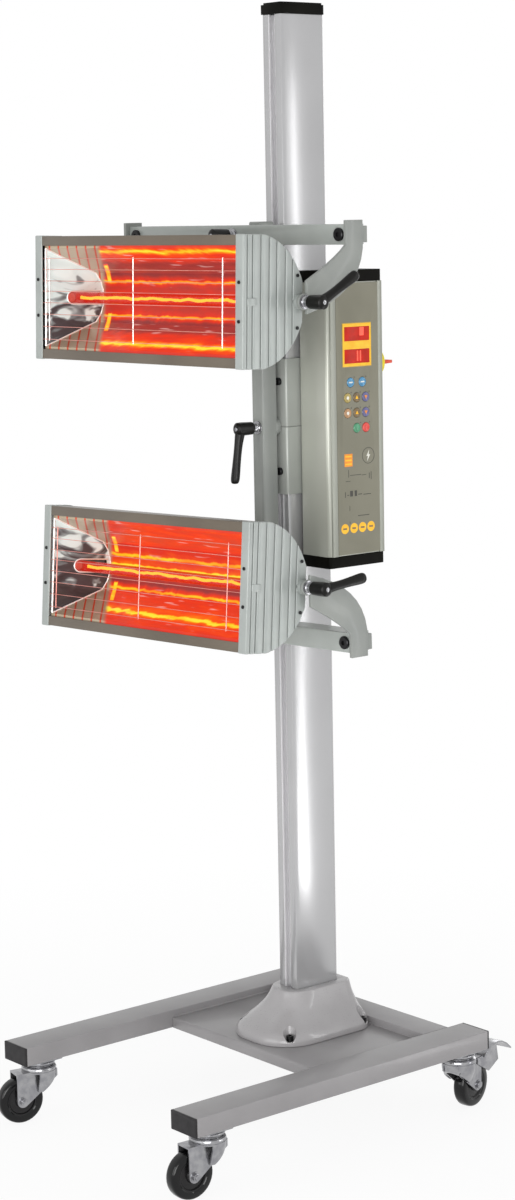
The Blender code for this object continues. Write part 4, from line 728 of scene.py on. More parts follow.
def makeFoot():
    centre = (foot["front"] + foot["rear"]) / 2
    length = foot["rear"] - foot["front"]
    body = block((columnAxis.x - foot["halfWidth"], columnAxis.y + foot["front"], foot["bottom"]),
                 (columnAxis.x + foot["halfWidth"], columnAxis.y + foot["rear"], foot["bottom"] + foot["edge"]))
    for rear, corner in ((False, foot["frontCorner"]), (True, foot["rearCorner"])):
        bevelAlong(body, 2, corner, 12, lambda edge: (edge.verts[0].co.y > columnAxis.y + centre) == rear)
    openEdit(body, "FACE", lambda face: face.normal.z > 0.9)
    size = [2 * foot["halfWidth"], length]
    middle = centre
    height = 0.0
    for share, rise in foot["steps"]:
        wide = 2 * (foot["collarHalfWidth"] + (foot["halfWidth"] - foot["collarHalfWidth"]) * share)
        long = 2 * foot["collarHalfLength"] + (length - 2 * foot["collarHalfLength"]) * share
        extrude((0.0, centre * share - middle, foot["flare"] * rise - height))
        bpy.ops.transform.resize(value=(wide / size[0], long / size[1], 1.0))
        size, middle, height = [wide, long], centre * share, foot["flare"] * rise
    closeEdit()
    rounded(body, 1.6 * mm, 3, 50)
    # the column's seat, with the column's own outline, and four bolt recesses
    clear = 5 * mm
    seat = [(columnAxis.x + across, columnAxis.y + along, foot["bottom"] - clear)
            for across, along in columnOutline(foot["seatGap"])]
    cutOut(body, plate(seat, (0.0, 0.0, foot["edge"] + height + 2 * clear)))
    points = [Vector((columnAxis.x + across * spread, columnAxis.y + along, foot["boltSeat"]))
              for across in (-1, 1) for spread, along in zip(foot["boltSpreads"], foot["boltRows"])]
    for point in points:
        cutOut(body, rod(point, point + Vector((0.0, 0.0, foot["flare"])), foot["bolt"][0] + foot["boltRoom"], 28))
    rounded(body, 0.5 * mm, 2, 40)
    dress(body, "columnFoot", "frame", "cast_grey", "footEnamelPaintedLight", ("column_foot",), 60)
    screws("footBolts", foot["bolt"], [Matrix.Translation(point) for point in points], "frame")


makeFoot()
makeColumn()
print("column and foot made")


# Casters, modelled round a swivel on the floor with the wheel towards -Y; profiles are (radius, height)
caster = dict(lengths(plate=(52, 64, 3), plateTop=103, plateCorner=6, forkTop=83.7, trail=34.5, wheelRadius=37.5,
                      forkInside=12.3, sheet=2.5, rear=26, endRadius=10, waist=(-4.5, 47.5), skirtCut=40,
                      skirtFront=-9, skirtTop=82.2,
                      cup=((0, 100), (25, 100), (27, 98.5), (27, 96), (24, 93.5), (24, 92.2), (0, 92.2)),
                      crown=((0, 91.4), (24.5, 91.4), (27.5, 89.7), (28.5, 87.2), (27, 81.5), (0, 81.2)),
                      skirt=((28.2, 84), (27.6, 74), (20, 50), (17.4, 50), (25, 74), (25.6, 84), (28.2, 84)),
                      tyre=((24, 9), (26, 10.5), (33.5, 10.5), (35.6, 9.5), (36.9, 7.5), (37.5, 4.5)),
                      hub=((4.6, 12), (9.5, 12), (10.5, 11), (11.5, 7.8), (21, 7.2), (22.5, 9.4), (24.5, 9.4),
                           (25, 8)),
                      boltHead=4.2, boltNut=5, boltEnd=7, hexagon=(6.4, 0.6), shank=(3.9, 0.5), washer=(8, 1)),
              slope=0.8)


def forkEdge(along):
    # height of the cheeks' slanting lower edge
    return caster["waist"][1] + caster["slope"] * (along - caster["waist"][0])


def forkModel():
    inside, sheet, rear, top, cut = (caster[name] for name in ("forkInside", "sheet", "rear", "forkTop", "skirtCut"))
    axle = (-caster["trail"], caster["wheelRadius"])
    front = axle[0] - caster["endRadius"]
    outline = [(front, top)] + arc(axle, caster["endRadius"], 180, 310, 10)
    outline += [caster["waist"], (rear, forkEdge(rear)), (rear, top)]
    body, cheek = [slab(side * inside, outline, side * sheet) for side in (-1, 1)]
    wide = inside + sheet / 2
    bridge = block((-wide, front, top - sheet), (wide, rear, top))
    crown = turned(caster["crown"], 36)
    # the pressed skirt that runs from the crown down into the cheeks
    skirt = turned(caster["skirt"], 36)
    cutOut(skirt, slab(-cut, [(cut, forkEdge(cut)), (-cut, forkEdge(-cut)), (-cut, -cut), (cut, -cut)], 2 * cut))
    cutOut(skirt, block((-cut, -cut, 0.0), (cut, caster["skirtFront"], caster["skirtTop"])))
    for other in (cheek, bridge, crown, skirt):
        cutOut(body, other, "UNION")
    rounded(body, 0.7 * mm, 2, 35)
    # axle bolt: a hexagon head on one side, a lock nut on the other, and two washers
    reach = inside + sheet
    bolt = [rounded(rod((start, *axle), (end, *axle), caster[shape][0], sides), caster[shape][1])
            for start, end, shape, sides in ((-reach - caster["boltHead"], -reach, "hexagon", 6),
                                             (reach, reach + caster["boltNut"], "hexagon", 6),
                                             (-reach, reach + caster["boltEnd"], "shank", 20))]
    radius, thick = caster["washer"]
    bolt += [rod((side * reach, *axle), (side * (reach + thick), *axle), radius, 24) for side in (-1, 1)]
    return body, joined(bolt)


def wheelModel(profile):
    whole = bothHalves(list(profile))
    model = turned(whole + whole[:1], 40)
    model.data.transform(spun(90, "Y"))
    model.data.transform(Matrix.Translation((0.0, -caster["trail"], caster["wheelRadius"])))
    return model


def makeCasters():
    fork, axle = forkModel()
    tyre, hub = (wheelModel(caster[name]) for name in ("tyre", "hub"))
    wide, long, thick = caster["plate"]
    top = block((-wide / 2, -long / 2, caster["plateTop"] - thick), (wide / 2, long / 2, caster["plateTop"]))
    bevelAlong(top, 2, caster["plateCorner"], 5)
    rounded(top, 0.5 * mm, 2, 40)
    race = joined([top, rounded(turned(caster["cup"], 36), 0.4 * mm)])
    for label, turn in casterTurns.items():
        swivel, wheel = label + "_swivel", label + "_wheel"
        row, side = label.split("_")
        tag = camelled(label)
        level = Matrix.Translation(pivots[swivel])
        place = level @ spun(turn, "Z")
        dress(copied(race, level), tag + "BearingPlate", "frame", "caster_zinc", "zincPlate", (side + "_leg",))
        dress(copied(fork, place), tag + "Fork", swivel, "caster_zinc", "zincPlate", (label + "_fork",))
        dress(copied(axle, place), tag + "AxleBolt", swivel, "caster_zinc", "zincPlate")
        dress(copied(tyre, place), tag + "Tyre", wheel, "wheel_black", "tyreBlack", (wheel,))
        dress(copied(hub, place), tag + "WheelHub", wheel, "wheel_black", "hubBlack")
        if row == "rear":
            softened(label + "_brake_pedal", "caster_zinc", "zincPlate", 0.5 * mm)
    discard(fork, axle, tyre, hub, race)


makeCasters()
print("casters made")


# Carriage: two sleeve halves that meet at the boom's pivot
carriage = lengths(height=1114.5, gap=0.25, screw=(6.2, 5, 2.6), screwSpread=11, screwRise=71, front=52.6)
forward = (0.0, -1.0, 0.0)


def makeCarriage():
    for name, side in (("upper", 1), ("lower", -1)):
        half = merged("carriage", name)
        bpy.ops.mesh.bisect(plane_co=(0.0, 0.0, carriage["height"] + side * carriage["gap"]),
                            plane_no=(0.0, 0.0, side), clear_inner=True, use_fill=True)
        bpy.ops.mesh.select_all(action="SELECT")
        flattened()
        rounded(half, 0.5 * mm, 2, 35)
        dress(half, name + "CarriageHalf", "carriage", "bare_aluminium", "mattAluminium", ("carriage",))
    spots = [aimed((columnAxis.x + across * carriage["screwSpread"], carriage["front"],
                    carriage["height"] + rise * carriage["screwRise"]), forward)
             for across in (-1, 1) for rise in (-1, 1)]
    screws("carriageScrews", carriage["screw"], spots, "carriage")
    carried("slide_shoe", "capPlastic")


makeCarriage()
print("carriage made")


# Control box: drawn shell with raised rails beside the panel, moulded caps, and a display of two red windows in
# a gold bezel. Flat outlines are (y, z) points, and bars are (y, z, width, height).
box = lengths(outside=72.6, panelFace=74.6, top=1340, bottom=910, rails=((84.9, 96.6), (184.6, 194.1)),
              railSunk=0.5, railProud=2.2, rim=(139.8, 1241.5, 61.4, 69.4), bezel=(139.8, 1241.5, 59, 67),
              windows=((139.8, 1258.7, 52.6, 22), (139.8, 1223.7, 52.6, 22)), windowGap=0.1, figureLift=0.56,
              figures=((150, 1262, 9, 13), (141, 1224, 3, 16), (147, 1224, 3, 16)))


def flat(shapes, thickness=0.12 * mm, lift=0.02 * mm):
    # flat shapes that lie on the panel
    return joined([slab(box["panelFace"] + lift, shape, thickness) for shape in shapes])


def disc(along, up, radius, steps=24):
    return arc((along, up), radius, 0, 360 - 360 / steps, steps - 1)


def bar(along, up, width, height):
    return [(along + side * width / 2, up + rise * height / 2) for side, rise in ((-1, -1), (1, -1), (1, 1), (-1, 1))]


def makeBox():
    softened("control_box_shell", "bare_aluminium", "boxAluminium", 0.4 * mm, 2, 50, "boxShell")
    for cap in ("box_top_cap", "box_bottom_cap"):
        softened(cap, "black_plastic", "capPlastic", 0.9 * mm, 2, 50)
    softened("control_panel", "panel_foil", "panelFoil", 0.25 * mm, 1, 50, "panelPlate")
    carried("display_board", "boardGreen")
    low, high = box["outside"] - box["railSunk"], box["outside"] + box["railProud"]
    rails = [rounded(block((low, start, box["bottom"]), (high, end, box["top"])), 0.7 * mm, 3)
             for start, end in box["rails"]]
    dress(joined(rails), "panelRails", "carriage", "bare_aluminium", "railAluminiumPaintedShade")


def makeDisplay():
    dress(flat([bar(*box["rim"])], 0.3 * mm), "displayRim", "carriage", "switch_yellow", "keyOlive")
    bezel = flat([bar(*box["bezel"])], 0.8 * mm)
    for along, up, width, height in box["windows"]:
        across, rise = width / 2 + box["windowGap"], height / 2 + box["windowGap"]
        cutOut(bezel, block((box["panelFace"] - mm, along - across, up - rise),
                            (box["panelFace"] + 2 * mm, along + across, up + rise)))
    dress(rounded(bezel, 0.25 * mm), "displayBezel", "carriage", "switch_yellow", "printYellow")
    windows = rounded(flat([bar(*window) for window in box["windows"]], 0.5 * mm), 0.15 * mm)
    dress(windows, "displayWindows", "carriage", "switch_red", "displayRed")
    figures = flat([bar(*figure) for figure in box["figures"]], 0.1 * mm, box["figureLift"])
    dress(figures, "displayFigures", "carriage", "switch_red", "figureGlow")


makeBox()
makeDisplay()


# Key tops: a shallow dished button with a raised ring, and a plain sign on it
keys = dict(lengths(profile=((0, 0.4), (7.4, 0.4), (7.4, 1.6), (6.7, 2.2), (5.9, 2.2), (5.4, 1.9), (0, 1.75)),
                    seat=0.6, signLift=0.45, minus=(8, 2), dot=2.6, arrow=(3, 3.2)),
            tops=(("keyBlue", "minus"), ("keyBlue", "minus"), ("keyOlive", "dot"), ("keyAmber", "up"),
                  ("keyViolet", "down"), ("keyTan", "dot"), ("keyAmber", "up"), ("keyViolet", "down"),
                  ("keyGreen", None), ("keyRed", None)),
            inks={"minus": "printPale", "dot": "printPale", "up": "printYellow", "down": "printOrange"})


def keyMiddle(number):
    low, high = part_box("key_%d" % number)
    return (low + high) / 2


def signOutline(sign, along, up):
    if sign == "minus":
        return bar(along, up, *keys["minus"])
    if sign == "dot":
        return disc(along, up, keys["dot"], 16)
    half, tip = keys["arrow"][0], keys["arrow"][1] * (1 if sign == "up" else -1)
    return [(along - half, up - tip * 0.7), (along + half, up - tip * 0.7), (along, up + tip)]


def makeKeys():
    model = turned(keys["profile"], 28)
    for number, (colour, sign) in enumerate(keys["tops"], start=1):
        name = "key_%d" % number
        middle = keyMiddle(number)
        top = copied(model, aimed((box["outside"] + keys["seat"], middle.y, middle.z), (1.0, 0.0, 0.0)))
        dress(top, "keyTop%d" % number, name, "key_plastic", colour, (name,))
        if sign:
            shape = flat([signOutline(sign, middle.y, middle.z)], 0.3 * mm, keys["signLift"])
            dress(shape, "keySign%d" % number, name, "key_plastic", keys["inks"][sign])
    discard(model)


makeKeys()


# Panel print: plain signs only, no words
signs = lengths(ring=(161.4, 1066, 13), ringHole=(161.4, 1066, 12), keyDot=(7.5, 8, 1), lamp=(119.4, 1061, 17, 20),
                bolt=((163.4, 1075), (157.4, 1065), (160.6, 1065), (158.9, 1057), (165.4, 1067.5), (162, 1067.5)),
                strokes=((119.4, 1040, 1, 12), (134, 1037, 24, 0.9), (118, 1028, 10, 0.9), (152, 1036, 9, 0.9),
                         (163, 1034, 1.2, 9), (167, 1034, 1.2, 13), (112, 1007, 1.4, 9), (118, 1006, 4, 1.2),
                         (125, 1008, 6, 9), (134, 1008, 5, 9), (143, 1006, 8, 1.4), (158, 1005, 16, 1.2),
                         (121, 985, 1, 8), (121, 962, 1, 4), (150, 972, 24, 1.2)),
                stripes=((119.4, 1055, 13, 2.2), (119.4, 1061, 13, 2.2), (119.4, 1067, 13, 2.2)),
                discs=(110.4, 129.4, 147.4, 165.4), discRow=953, discRadius=8, discBar=(8, 2.6), ink=0.1, onInk=0.14)


def makePrint():
    ink, onInk = signs["ink"], signs["onInk"]
    ring = flat([disc(*signs["ring"], 32)], ink)
    cutOut(ring, flat([disc(*signs["ringHole"], 32)], mm, -0.5 * mm))
    strokes = flat([bar(*stroke) for stroke in signs["strokes"]])
    aside, above, radius = signs["keyDot"]
    middles = [keyMiddle(number) for number in range(1, len(keys["tops"]) + 1)]
    dots = flat([disc(middle.y + aside, middle.z + above, radius, 12) for middle in middles])
    dress(joined([ring, strokes, dots]), "printMarks", "carriage", "panel_foil", "printDark")
    discs = [disc(along, signs["discRow"], signs["discRadius"]) for along in signs["discs"]]
    discBars = [bar(along, signs["discRow"], *signs["discBar"]) for along in signs["discs"]]
    stripes = [bar(*stripe) for stripe in signs["stripes"]]
    for name, finish, piece in (("printBolt", "printPale", flat([signs["bolt"]], onInk)),
                                ("printLampSign", "printOrange", flat([bar(*signs["lamp"])], ink)),
                                ("printLampStripes", "printYellow", flat(stripes, ink, onInk)),
                                ("printDiscs", "printYellow", flat(discs, ink)),
                                ("printDiscBars", "keyAmber", flat(discBars, ink, onInk))):
        dress(piece, name, "carriage", "panel_foil", finish)


makePrint()


# Main switch on the box's rear side
switch = dict(lengths(seat=195.2, face=(-1, 3), faceRadius=14, grip=((-17, 0.5, -3.5), (17, 23, 3.5)),
                      plate=((4.8, 0), (24, 0), (24, 13.5), (22.8, 15.9), (21, 16.5), (4.8, 16.5), (4.8, 0))),
              gripTaper=(0.86, 1.0, 0.7))


def makeSwitch():
    knob = pivots["main_switch"]
    disk = turned(switch["plate"], 40)
    disk.data.transform(aimed((knob.x, switch["seat"], knob.z), (0.0, 1.0, 0.0)))
    dress(disk, "switchPlate", "carriage", "switch_yellow", "switchYellow", ("switch_plate",))
    start, end = (knob + Vector((0.0, depth, 0.0)) for depth in switch["face"])
    face = rod(start, end, switch["faceRadius"], 36)
    grip = block(*(knob + Vector(corner) for corner in switch["grip"]))
    openEdit(grip, "FACE", lambda side: side.normal.y > 0.9)
    bpy.ops.transform.resize(value=switch["gripTaper"])
    closeEdit()
    whole = joined([rounded(face, 0.8 * mm), rounded(grip, 1.2 * mm, 3)])
    dress(whole, "switchGrip", "main_switch", "switch_red", "switchRed", ("switch_knob",))


makeSwitch()
print("control box made")


# Boom and yokes: enamelled bars and castings with black screws
yoke = lengths(screwSpread=247, screw=(10, 4.5, 4), beyondBar=((233.5, -100, 700), (300, 100, 1500)))


def makeBoomAndYokes():
    softened("boom_bar", "cast_grey", "yokeEnamelPaintedShade", 0.8 * mm, 2, 40)
    for label, turn in yokeTurns.items():
        crossbar = softened(label + "_crossbar", "cast_grey", "crossbarEnamel", 1.6 * mm, 3, 40)
        cutOut(crossbar, block(*yoke["beyondBar"]))
        for side in ("left", "right"):
            softened("%s_%s_arm" % (label, side), "cast_grey", "yokeEnamelPaintedShade", 1.4 * mm, 3, 40)
        middle = Matrix.Translation(pivots[label + "_yoke_clamp"]) @ turn
        spots = [middle @ aimed((side * yoke["screwSpread"], 0.0, 0.0), forward) for side in (-1, 1)]
        screws(label + "CrossbarScrews", yoke["screw"], spots, label + "_yoke")


makeBoomAndYokes()
print("boom and yokes made")


# Clamp levers: modelled with the stud along -Z and the handle along +X. The handle is drawn out through rings of
# (share of its length, width, height, rise in mm); tilted handles are turned so many degrees up from the rear.
lever = dict(lengths(handle=6.8, handleHeight=35, long=85, short=72,
                     stud=((0, -6), (5, -6), (5, 0.3), (10.5, 0.3), (10.5, 2.3), (8, 2.3), (6.5, 4.5), (6.5, 13),
                           (0, 13)),
                     shell=((0, 12), (8.8, 12), (10, 13.5), (10.8, 34.5), (10.4, 41.5), (7.5, 43.9), (4.5, 44.5),
                            (4.2, 43.7), (0, 43.7)),
                     button=((0, 43.5), (3.4, 43.5), (3.4, 44.6), (2.8, 45), (0, 45))),
             slant=8.0, tilts={"upper": 33.0, "lower": 9.0},
             rings=((0.0, 1.25, 1.3, -2.0), (0.13, 1.2, 1.2, -1.2), (0.28, 1.0, 1.0, -0.3),
                    (0.55, 1.05, 0.92, 0.0), (0.80, 1.25, 0.95, 0.0), (0.93, 1.32, 0.95, 0.0),
                    (0.985, 1.05, 0.75, 0.0), (1.0, 0.6, 0.45, 0.0)))


def handleModel(length):
    bpy.ops.mesh.primitive_circle_add(vertices=12, radius=lever["handle"], fill_type="NGON",
                                      location=(0.0, 0.0, lever["handleHeight"]),
                                      rotation=(0.0, math.radians(90), 0.0))
    handle = applyPlace()
    openEdit(handle, "FACE", lambda face: True)
    before = (0.0, 1.0, 1.0, 0.0)
    for ring in lever["rings"]:
        reach = (ring[0] - before[0]) * length
        if reach > 0.0:
            extrude((reach, 0.0, reach * math.tan(math.radians(lever["slant"])) + (ring[3] - before[3]) * mm))
        bpy.ops.transform.resize(value=(1.0, ring[1] / before[1], ring[2] / before[2]))
        before = ring
    faceOutwards()
    closeEdit()
    return applied(handle, "SUBSURF", {"levels": 2, "render_levels": 2})


def placeLevers(length, clamps):
    metal = rounded(turned(lever["stud"]), 0.4 * mm)
    grip = joined([turned(lever["shell"]), handleModel(length)])
    button = turned(lever["button"], 20)
    for stem, node, out, along in clamps:
        name, body = camelled(stem) + "Lever", stem + "_clamp"
        turn = Matrix((along, Vector(out).cross(along), out)).transposed().to_4x4()
        carrier = yokeTurns.get(stem.split("_")[0], Matrix.Identity(4))
        place = Matrix.Translation(pivots[body]) @ carrier @ turn
        dress(copied(grip, place), name, body, "lever_black", "leverNylon", (node,))
        dress(copied(metal, place), name + "Stud", body, "caster_zinc", "zincPlate", (node,))
        dress(copied(button, place), name + "Button", body, "caster_zinc", "zincPlate")
    discard(metal, grip, button)


def makeLevers():
    up, down = Vector((0.0, 0.0, 1.0)), Vector((0.0, 0.0, -1.0))
    placeLevers(lever["long"], (("boom", "boom_clamp_lever", forward, down),
                                ("upper_yoke", "upper_yoke_lever", forward, down),
                                ("lower_yoke", "lower_yoke_lever", forward, up)))
    tilted = {label: (0.0, math.cos(math.radians(angle)), math.sin(math.radians(angle)))
              for label, angle in lever["tilts"].items()}
    placeLevers(lever["short"], [(label + "_tilt", label + "_tilt_lever", (1.0, 0.0, 0.0), Vector(along))
                                 for label, along in tilted.items()])


makeLevers()
print("levers made")


# Cassettes, modelled level round the tilt pivot and then placed twice. The end caps are ribbed: each band is
# (start, end) from the front edge, and the cap's upper edge bends down to a flat at the rear.
cassette = dict(lengths(half=258, front=-105, rear=7, halfHeight=96.5, capDepth=18, flat=30, coreDepth=13,
                        coreDrop=2.2, coreInset=0.6, bandRounding=1.6, hubStart=94.1, hubInset=2, lugRadius=11,
                        lug=(253, 264.6), boss=((245, -97, -6), (259.2, -80, 6)), screw=(2.6, 1.8, 1.2),
                        frontScrews=28, sideScrews=(-3, 38), rounding=0.8,
                        bands=((0.0, 7.8), (9.2, 17.4), (18.9, 33.0), (34.5, 48.6), (50.1, 62.8), (64.3, 79.0),
                               (80.5, 92.6))),
                bendStart=0.36, bendControl=(0.19, 0.12), bandSteps=(0.0, 0.33, 0.67, 1.0))


def capCurve(drop):
    # upper edge from the front to the rear flat
    top = cassette["halfHeight"] - drop
    depth = cassette["rear"] - cassette["front"]
    back, down = cassette["bendControl"]
    control = (cassette["rear"] - depth * back, top - cassette["halfHeight"] * down)
    return bend((cassette["front"] + depth * cassette["bendStart"], top), control,
                (cassette["rear"], cassette["flat"]), 16)


def capHeight(along):
    curve = capCurve(0.0)
    if along <= curve[0][0]:
        return cassette["halfHeight"]
    for (y0, z0), (y1, z1) in zip(curve, curve[1:]):
        if y0 <= along <= y1:
            return z0 + (z1 - z0) * (along - y0) / (y1 - y0)
    return cassette["flat"]


def endCapModel():
    front, depth, drop, inset = (cassette[name] for name in ("front", "capDepth", "coreDrop", "hubInset"))
    inside = cassette["half"] - depth
    upper = [(front + cassette["coreInset"], cassette["halfHeight"] - drop)] + capCurve(drop)
    parts = [rounded(slab(inside, bothHalves(upper), cassette["coreDepth"]), cassette["rounding"], 2, 40)]
    for start, end in cassette["bands"]:
        steps = [front + start + (end - start) * share for share in cassette["bandSteps"]]
        band = slab(inside, bothHalves([(along, capHeight(along)) for along in steps]), depth)
        parts.append(rounded(band, cassette["bandRounding"], 3))
    near = front + cassette["hubStart"]
    lobe = [(near, capHeight(near))] + [point for point in capCurve(0.0) if point[0] > near]
    hub = slab(inside + inset, bothHalves(lobe), depth - inset)
    parts.append(rounded(hub, cassette["bandRounding"], 3, 40))
    start, end = cassette["lug"]
    parts.append(rounded(rod((start, 0.0, 0.0), (end, 0.0, 0.0), cassette["lugRadius"], 32),
                         cassette["rounding"]))
    # small cast boss between the bands
    parts.append(rounded(block(*cassette["boss"]), cassette["bandRounding"], 3))
    return joined(parts)


# Reflector: a trough of thin sheet with leant end plates, each with a slot for the tube and a folded edge whose
# brightness is a painted highlight
reflector = dict(lengths(mouth=-98.5, back=-2.5, mouthHalf=77, flange=93, reach=240.5, slant=24, sheet=0.8,
                         tube=-53, slotRadius=10.5, slotBack=-8.5, endInset=0.8, endSheet=0.7, rimInset=2.2,
                         rimRadius=1.2, lipInset=2, lipHalf=76, lipRadius=1.5, overrun=20, cutter=150),
                 endShare=0.985, profile=((0.0, 1.0), (0.86, 0.51), (0.945, 0.34), (0.985, 0.17), (1.0, 0.0)))


def onEndPlate(outline, side, inset):
    # an outline laid on the end plate, which leans in towards the back
    mouth = reflector["mouth"]
    lean = reflector["slant"] / (reflector["back"] - mouth)
    return [(side * (reflector["reach"] - lean * (along - mouth) - inset), along, up * reflector["endShare"])
            for along, up in outline]


def reflectorModels():
    mouth, mouthHalf, reach = (reflector[name] for name in ("mouth", "mouthHalf", "reach"))
    depth = reflector["back"] - mouth
    half = [(mouth + depth * along, mouthHalf * up) for along, up in reflector["profile"]]
    section = half + [(along, -up) for along, up in reversed(half[:-1])]
    wide = reach + reflector["overrun"]
    trough = traced([(-wide, along, up) for along, up in section])
    extrude((2 * wide, 0.0, 0.0))
    for side in (-1, 1):
        bpy.ops.mesh.select_all(action="SELECT")
        bpy.ops.mesh.bisect(plane_co=(side * reach, mouth, 0.0), plane_no=(side * depth, reflector["slant"], 0.0),
                            clear_outer=True)
    faceOutwards(inside=True)
    closeEdit()
    # flanges behind the housing's lips
    for side in (-1, 1):
        openEdit(trough, "VERT", lambda vertex: vertex.co.z * side > mouthHalf - 0.05 * mm)
        extrude((0.0, 0.0, side * (reflector["flange"] - mouthHalf)))
        closeEdit()
    applied(trough, "SOLIDIFY", {"thickness": reflector["sheet"], "offset": 0.0, "use_even_offset": True})
    back, radius = reflector["slotBack"], reflector["slotRadius"]
    tubeSlot = [(back, -radius)] + arc((reflector["tube"], 0.0), radius, 270, 90, 12) + [(back, radius)]
    ends = []
    edges = []
    for side in (-1, 1):
        sheet = plate(onEndPlate(section, side, reflector["endInset"]), (-side * reflector["endSheet"], 0.0, 0.0))
        ends.append(cutOut(sheet, slab(side * reflector["cutter"], tubeSlot, side * reflector["cutter"])))
        for rim in (section, tubeSlot):
            corners = onEndPlate(rim, side, reflector["rimInset"])
            edges += [rod(start, end, reflector["rimRadius"], 8) for start, end in zip(corners, corners[1:])]
        lip = [(side * (reach - reflector["lipInset"]), mouth, rise * reflector["lipHalf"]) for rise in (-1, 1)]
        edges.append(rod(*lip, reflector["lipRadius"], 10))
    return trough, joined(ends), joined(edges)


# Quartz lamp: a tube between ceramic ends, with a wound coil that sags a little between its supports
lamp = lengths(half=250, radius=8.6, ceramicRadius=7.5, ceramicLength=18, ceramicRim=1, coilRadius=1.6,
               wireRadius=0.9, coilPitch=3.4, sag=5, sagSize=22, coldEnd=24)


def lampModels():
    outer, wide, rim = (lamp[name] for name in ("half", "ceramicRadius", "ceramicRim"))
    inner = outer - lamp["ceramicLength"]
    axis = Matrix.Translation((0.0, reflector["tube"], 0.0)) @ spun(90, "Y")
    tube = turned([(lamp["radius"], -inner), (lamp["radius"], inner)], 28)
    ends = joined([turned([(0.0, side * inner), (wide - rim, side * inner), (wide, side * (inner + rim)),
                           (wide, side * outer), (0.0, side * outer)], 28) for side in (-1, 1)])
    hot = inner - lamp["coldEnd"]
    # a small ring is screwed along the tube
    bpy.ops.mesh.primitive_circle_add(vertices=6, radius=lamp["wireRadius"], location=(lamp["coilRadius"], 0.0, -hot),
                                      rotation=(math.radians(90), 0.0, 0.0))
    coil = applyPlace()
    applied(coil, "SCREW", {"screw_offset": lamp["coilPitch"], "iterations": int(2 * hot / lamp["coilPitch"]),
                            "steps": 8, "render_steps": 8})
    for model in (tube, ends, coil):
        model.data.transform(axis)
    sag = bpy.data.textures.new("coilSag", "CLOUDS")
    sag.noise_scale = lamp["sagSize"]
    applied(coil, "DISPLACE", {"texture": sag, "texture_coords": "LOCAL", "direction": "Z",
                               "strength": lamp["sag"], "mid_level": 0.5})
    return tube, ends, coil


# Guard: level wires across the mouth, and three uprights behind them; in the upper cassette the uprights' gleam is a
# painted highlight
grille = dict(lengths(radius=0.9, fine=0.45, levels=(61, 44, 26, 10, -8, -26, -45, -65), uprights=(-226, -8, 206),
                      levelDepth=-102.35, uprightDepth=-100.45, reach=242, top=63, bottom=-67),
              finishes={"upper": "brightWire", "lower": "glowTintedGuardWire"})


def grilleModels():
    reach, depth, behind = (grille[name] for name in ("reach", "levelDepth", "uprightDepth"))
    levels = [rod((-reach, depth, up), (reach, depth, up), grille["fine"], 8) for up in grille["levels"]]
    uprights = [rod((across, behind, grille["bottom"]), (across, behind, grille["top"]), grille["radius"], 10)
                for across in grille["uprights"]]
    return joined(uprights), joined(levels)


def makeCassettes():
    cap = endCapModel()
    models = (cap, copied(cap, Matrix.Diagonal((-1.0, 1.0, 1.0, 1.0))), *reflectorModels(), *lampModels(),
              *grilleModels())
    middle = cassette["half"] - cassette["capDepth"] / 2
    aside, sideRise = cassette["sideScrews"]
    for label, place in cassettePlaces.items():
        softened(label + "_housing", "housing_anodised", "bronzeAnodised", 0.6 * mm, 2, 40)
        rows = (("RightEndCap", "cast_grey", "castEnamel", "right_end_cap"),
                ("LeftEndCap", "cast_grey", "castEnamel", "left_end_cap"),
                ("Reflector", "reflector_mirror", label + "HotReflector", "reflector"),
                ("EndMirrors", "reflector_mirror", label + "EndMirror", "reflector"),
                ("MirrorEdges", "reflector_mirror", "brightWire", None),
                ("QuartzTube", "quartz_glow", "quartzTube", "quartz_lamp"),
                ("LampEnds", "quartz_glow", "steatite", "quartz_lamp"),
                ("Filament", "quartz_glow", "filamentGlow", "quartz_lamp"),
                ("GuardUprights", "grille_steel", grille["finishes"][label], "wire_grille"),
                ("GuardWires", "grille_steel", "glowTintedGuardWire", "wire_grille"))
        for model, (name, slot, finish, node) in zip(models, rows):
            dress(copied(model, place), label + name, label + "_cassette", slot, finish,
                  ("%s_%s" % (label, node),) if node else (), 25 if node == "reflector" else 35)
        spots = []
        for side in (-1, 1):
            spots += [aimed((side * middle, cassette["front"], rise * cassette["frontScrews"]), forward)
                      for rise in (-1, 1)]
            spots += [aimed((side * cassette["half"], aside, rise * sideRise), (side, 0.0, 0.0)) for rise in (-1, 1)]
        screws(label + "CassetteScrews", cassette["screw"], [place @ spot for spot in spots], label + "_cassette")
    discard(*models)


makeCassettes()
print("cassettes made")


# Studio: a floor that turns pure white away from the object, white surroundings for camera, gloss and glass,
# three soft lamps, and two narrow ones for the bright line down the column; each lamp is place, size and watts
studio = {"fill": 0.60, "floor": "#f4f4f4", "floorSize": 14.0, "floorNear": 0.90, "floorFade": (0.5, 1.6),
          "target": (0.0, 0.0, 0.95),
          "lamps": {"keyLamp": ((3.1, -2.9, 1.1), (2.6, 2.2), 112.0),
                    "fillLamp": ((0.2, -4.4, 1.5), (3.0, 2.6), 62.0),
                    "backLamp": ((-1.5, 3.8, 1.6), (2.0, 2.0), 25.0),
                    "stripLamp": ((2.46, 1.76, 1.3), (0.22, 2.6), 12.0)},
          "floorStrip": ((1.50, 1.04, 0.01), (0.16, 2.2), 8.0), "stripAzimuth": 31.5}


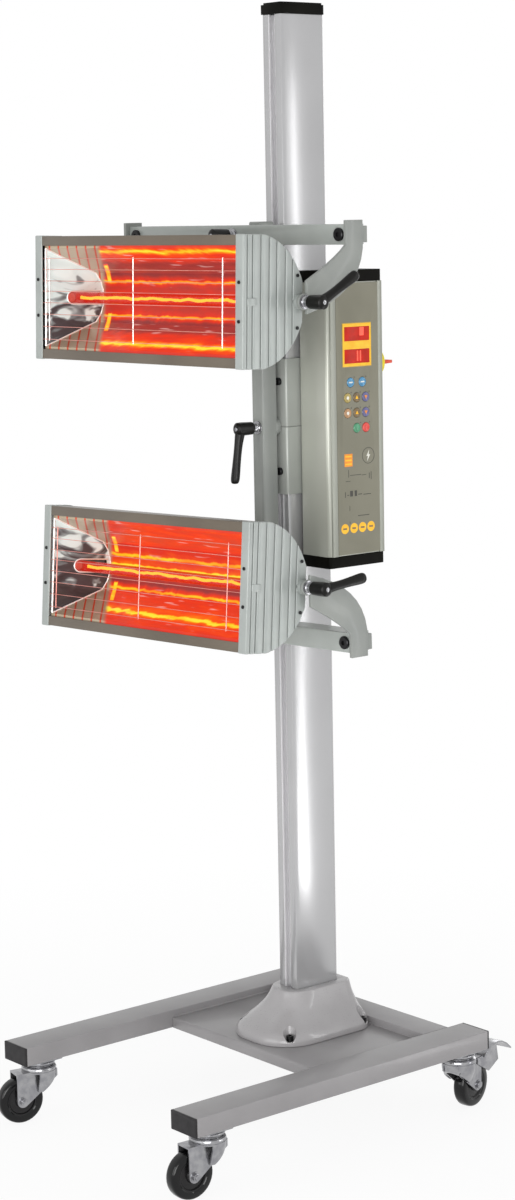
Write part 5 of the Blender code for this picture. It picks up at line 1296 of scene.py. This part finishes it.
def seenDirectly(tree):
    path = addNode(tree, "LightPath", {}).outputs
    seen = addNode(tree, "Math", {"operation": "MAXIMUM", 0: path["Is Camera Ray"], 1: path["Is Glossy Ray"]})
    return addNode(tree, "Math", {"operation": "MAXIMUM", 0: seen, 1: path["Is Transmission Ray"]})


def addLamp(name, turn, place, size, power):
    bpy.ops.object.light_add(type="AREA", location=place, rotation=turn)
    light = bpy.context.active_object
    light.name = name
    light.visible_camera = False
    light.data.shape = "RECTANGLE"
    light.data.size, light.data.size_y = size
    light.data.energy = power


def makeFloor():
    bpy.ops.mesh.primitive_plane_add(size=studio["floorSize"], location=(0.0, 0.0, 0.0))
    floor = applyPlace()
    floor.name = "studioFloor"
    made, tree, shader = newFinish("paleFloor")
    tree.nodes.remove(shader)
    dull = addNode(tree, "BsdfDiffuse", {"Color": linear(studio["floor"])})
    glowing = addNode(tree, "Emission", {"Strength": 1.0})
    where = addNode(tree, "TexCoord", {})
    away = addNode(tree, "VectorMath", {"operation": "LENGTH", 0: where.outputs["Object"]})
    start, end = studio["floorFade"]
    fade = addNode(tree, "MapRange", {"From Min": start, "From Max": end, "To Min": studio["floorNear"],
                                      "To Max": 1.0, "Value": away.outputs["Value"]})
    share = addNode(tree, "Math", {"operation": "MULTIPLY", 0: seenDirectly(tree), 1: fade})
    both = addNode(tree, "MixShader", {0: share, 1: dull, 2: glowing})
    connect(tree, tree.nodes["Material Output"], {"Surface": both})
    floor.data.materials.append(made)


def makeStudio():
    world = bpy.data.worlds.new("paleStudio")
    bpy.context.scene.world = world
    world.use_nodes = True
    tree = world.node_tree
    level = addNode(tree, "MapRange", {"To Min": studio["fill"], "To Max": 1.0, "Value": seenDirectly(tree)})
    connect(tree, tree.nodes["Background"], {"Strength": level, "Color": (1.0, 1.0, 1.0, 1.0)})
    makeFloor()
    for name, (place, size, power) in studio["lamps"].items():
        aim = Vector(studio["target"]) - Vector(place)
        addLamp(name, aim.to_track_quat("-Z", "Y").to_euler(), place, size, power)
    # lies on the floor and shines up, so that the line reaches the column's foot
    addLamp("floorStrip", (math.pi, 0.0, math.radians(studio["stripAzimuth"] - 90)), *studio["floorStrip"])
    bpy.context.scene.view_settings.view_transform = "Standard"


makeStudio()
print("studio made")
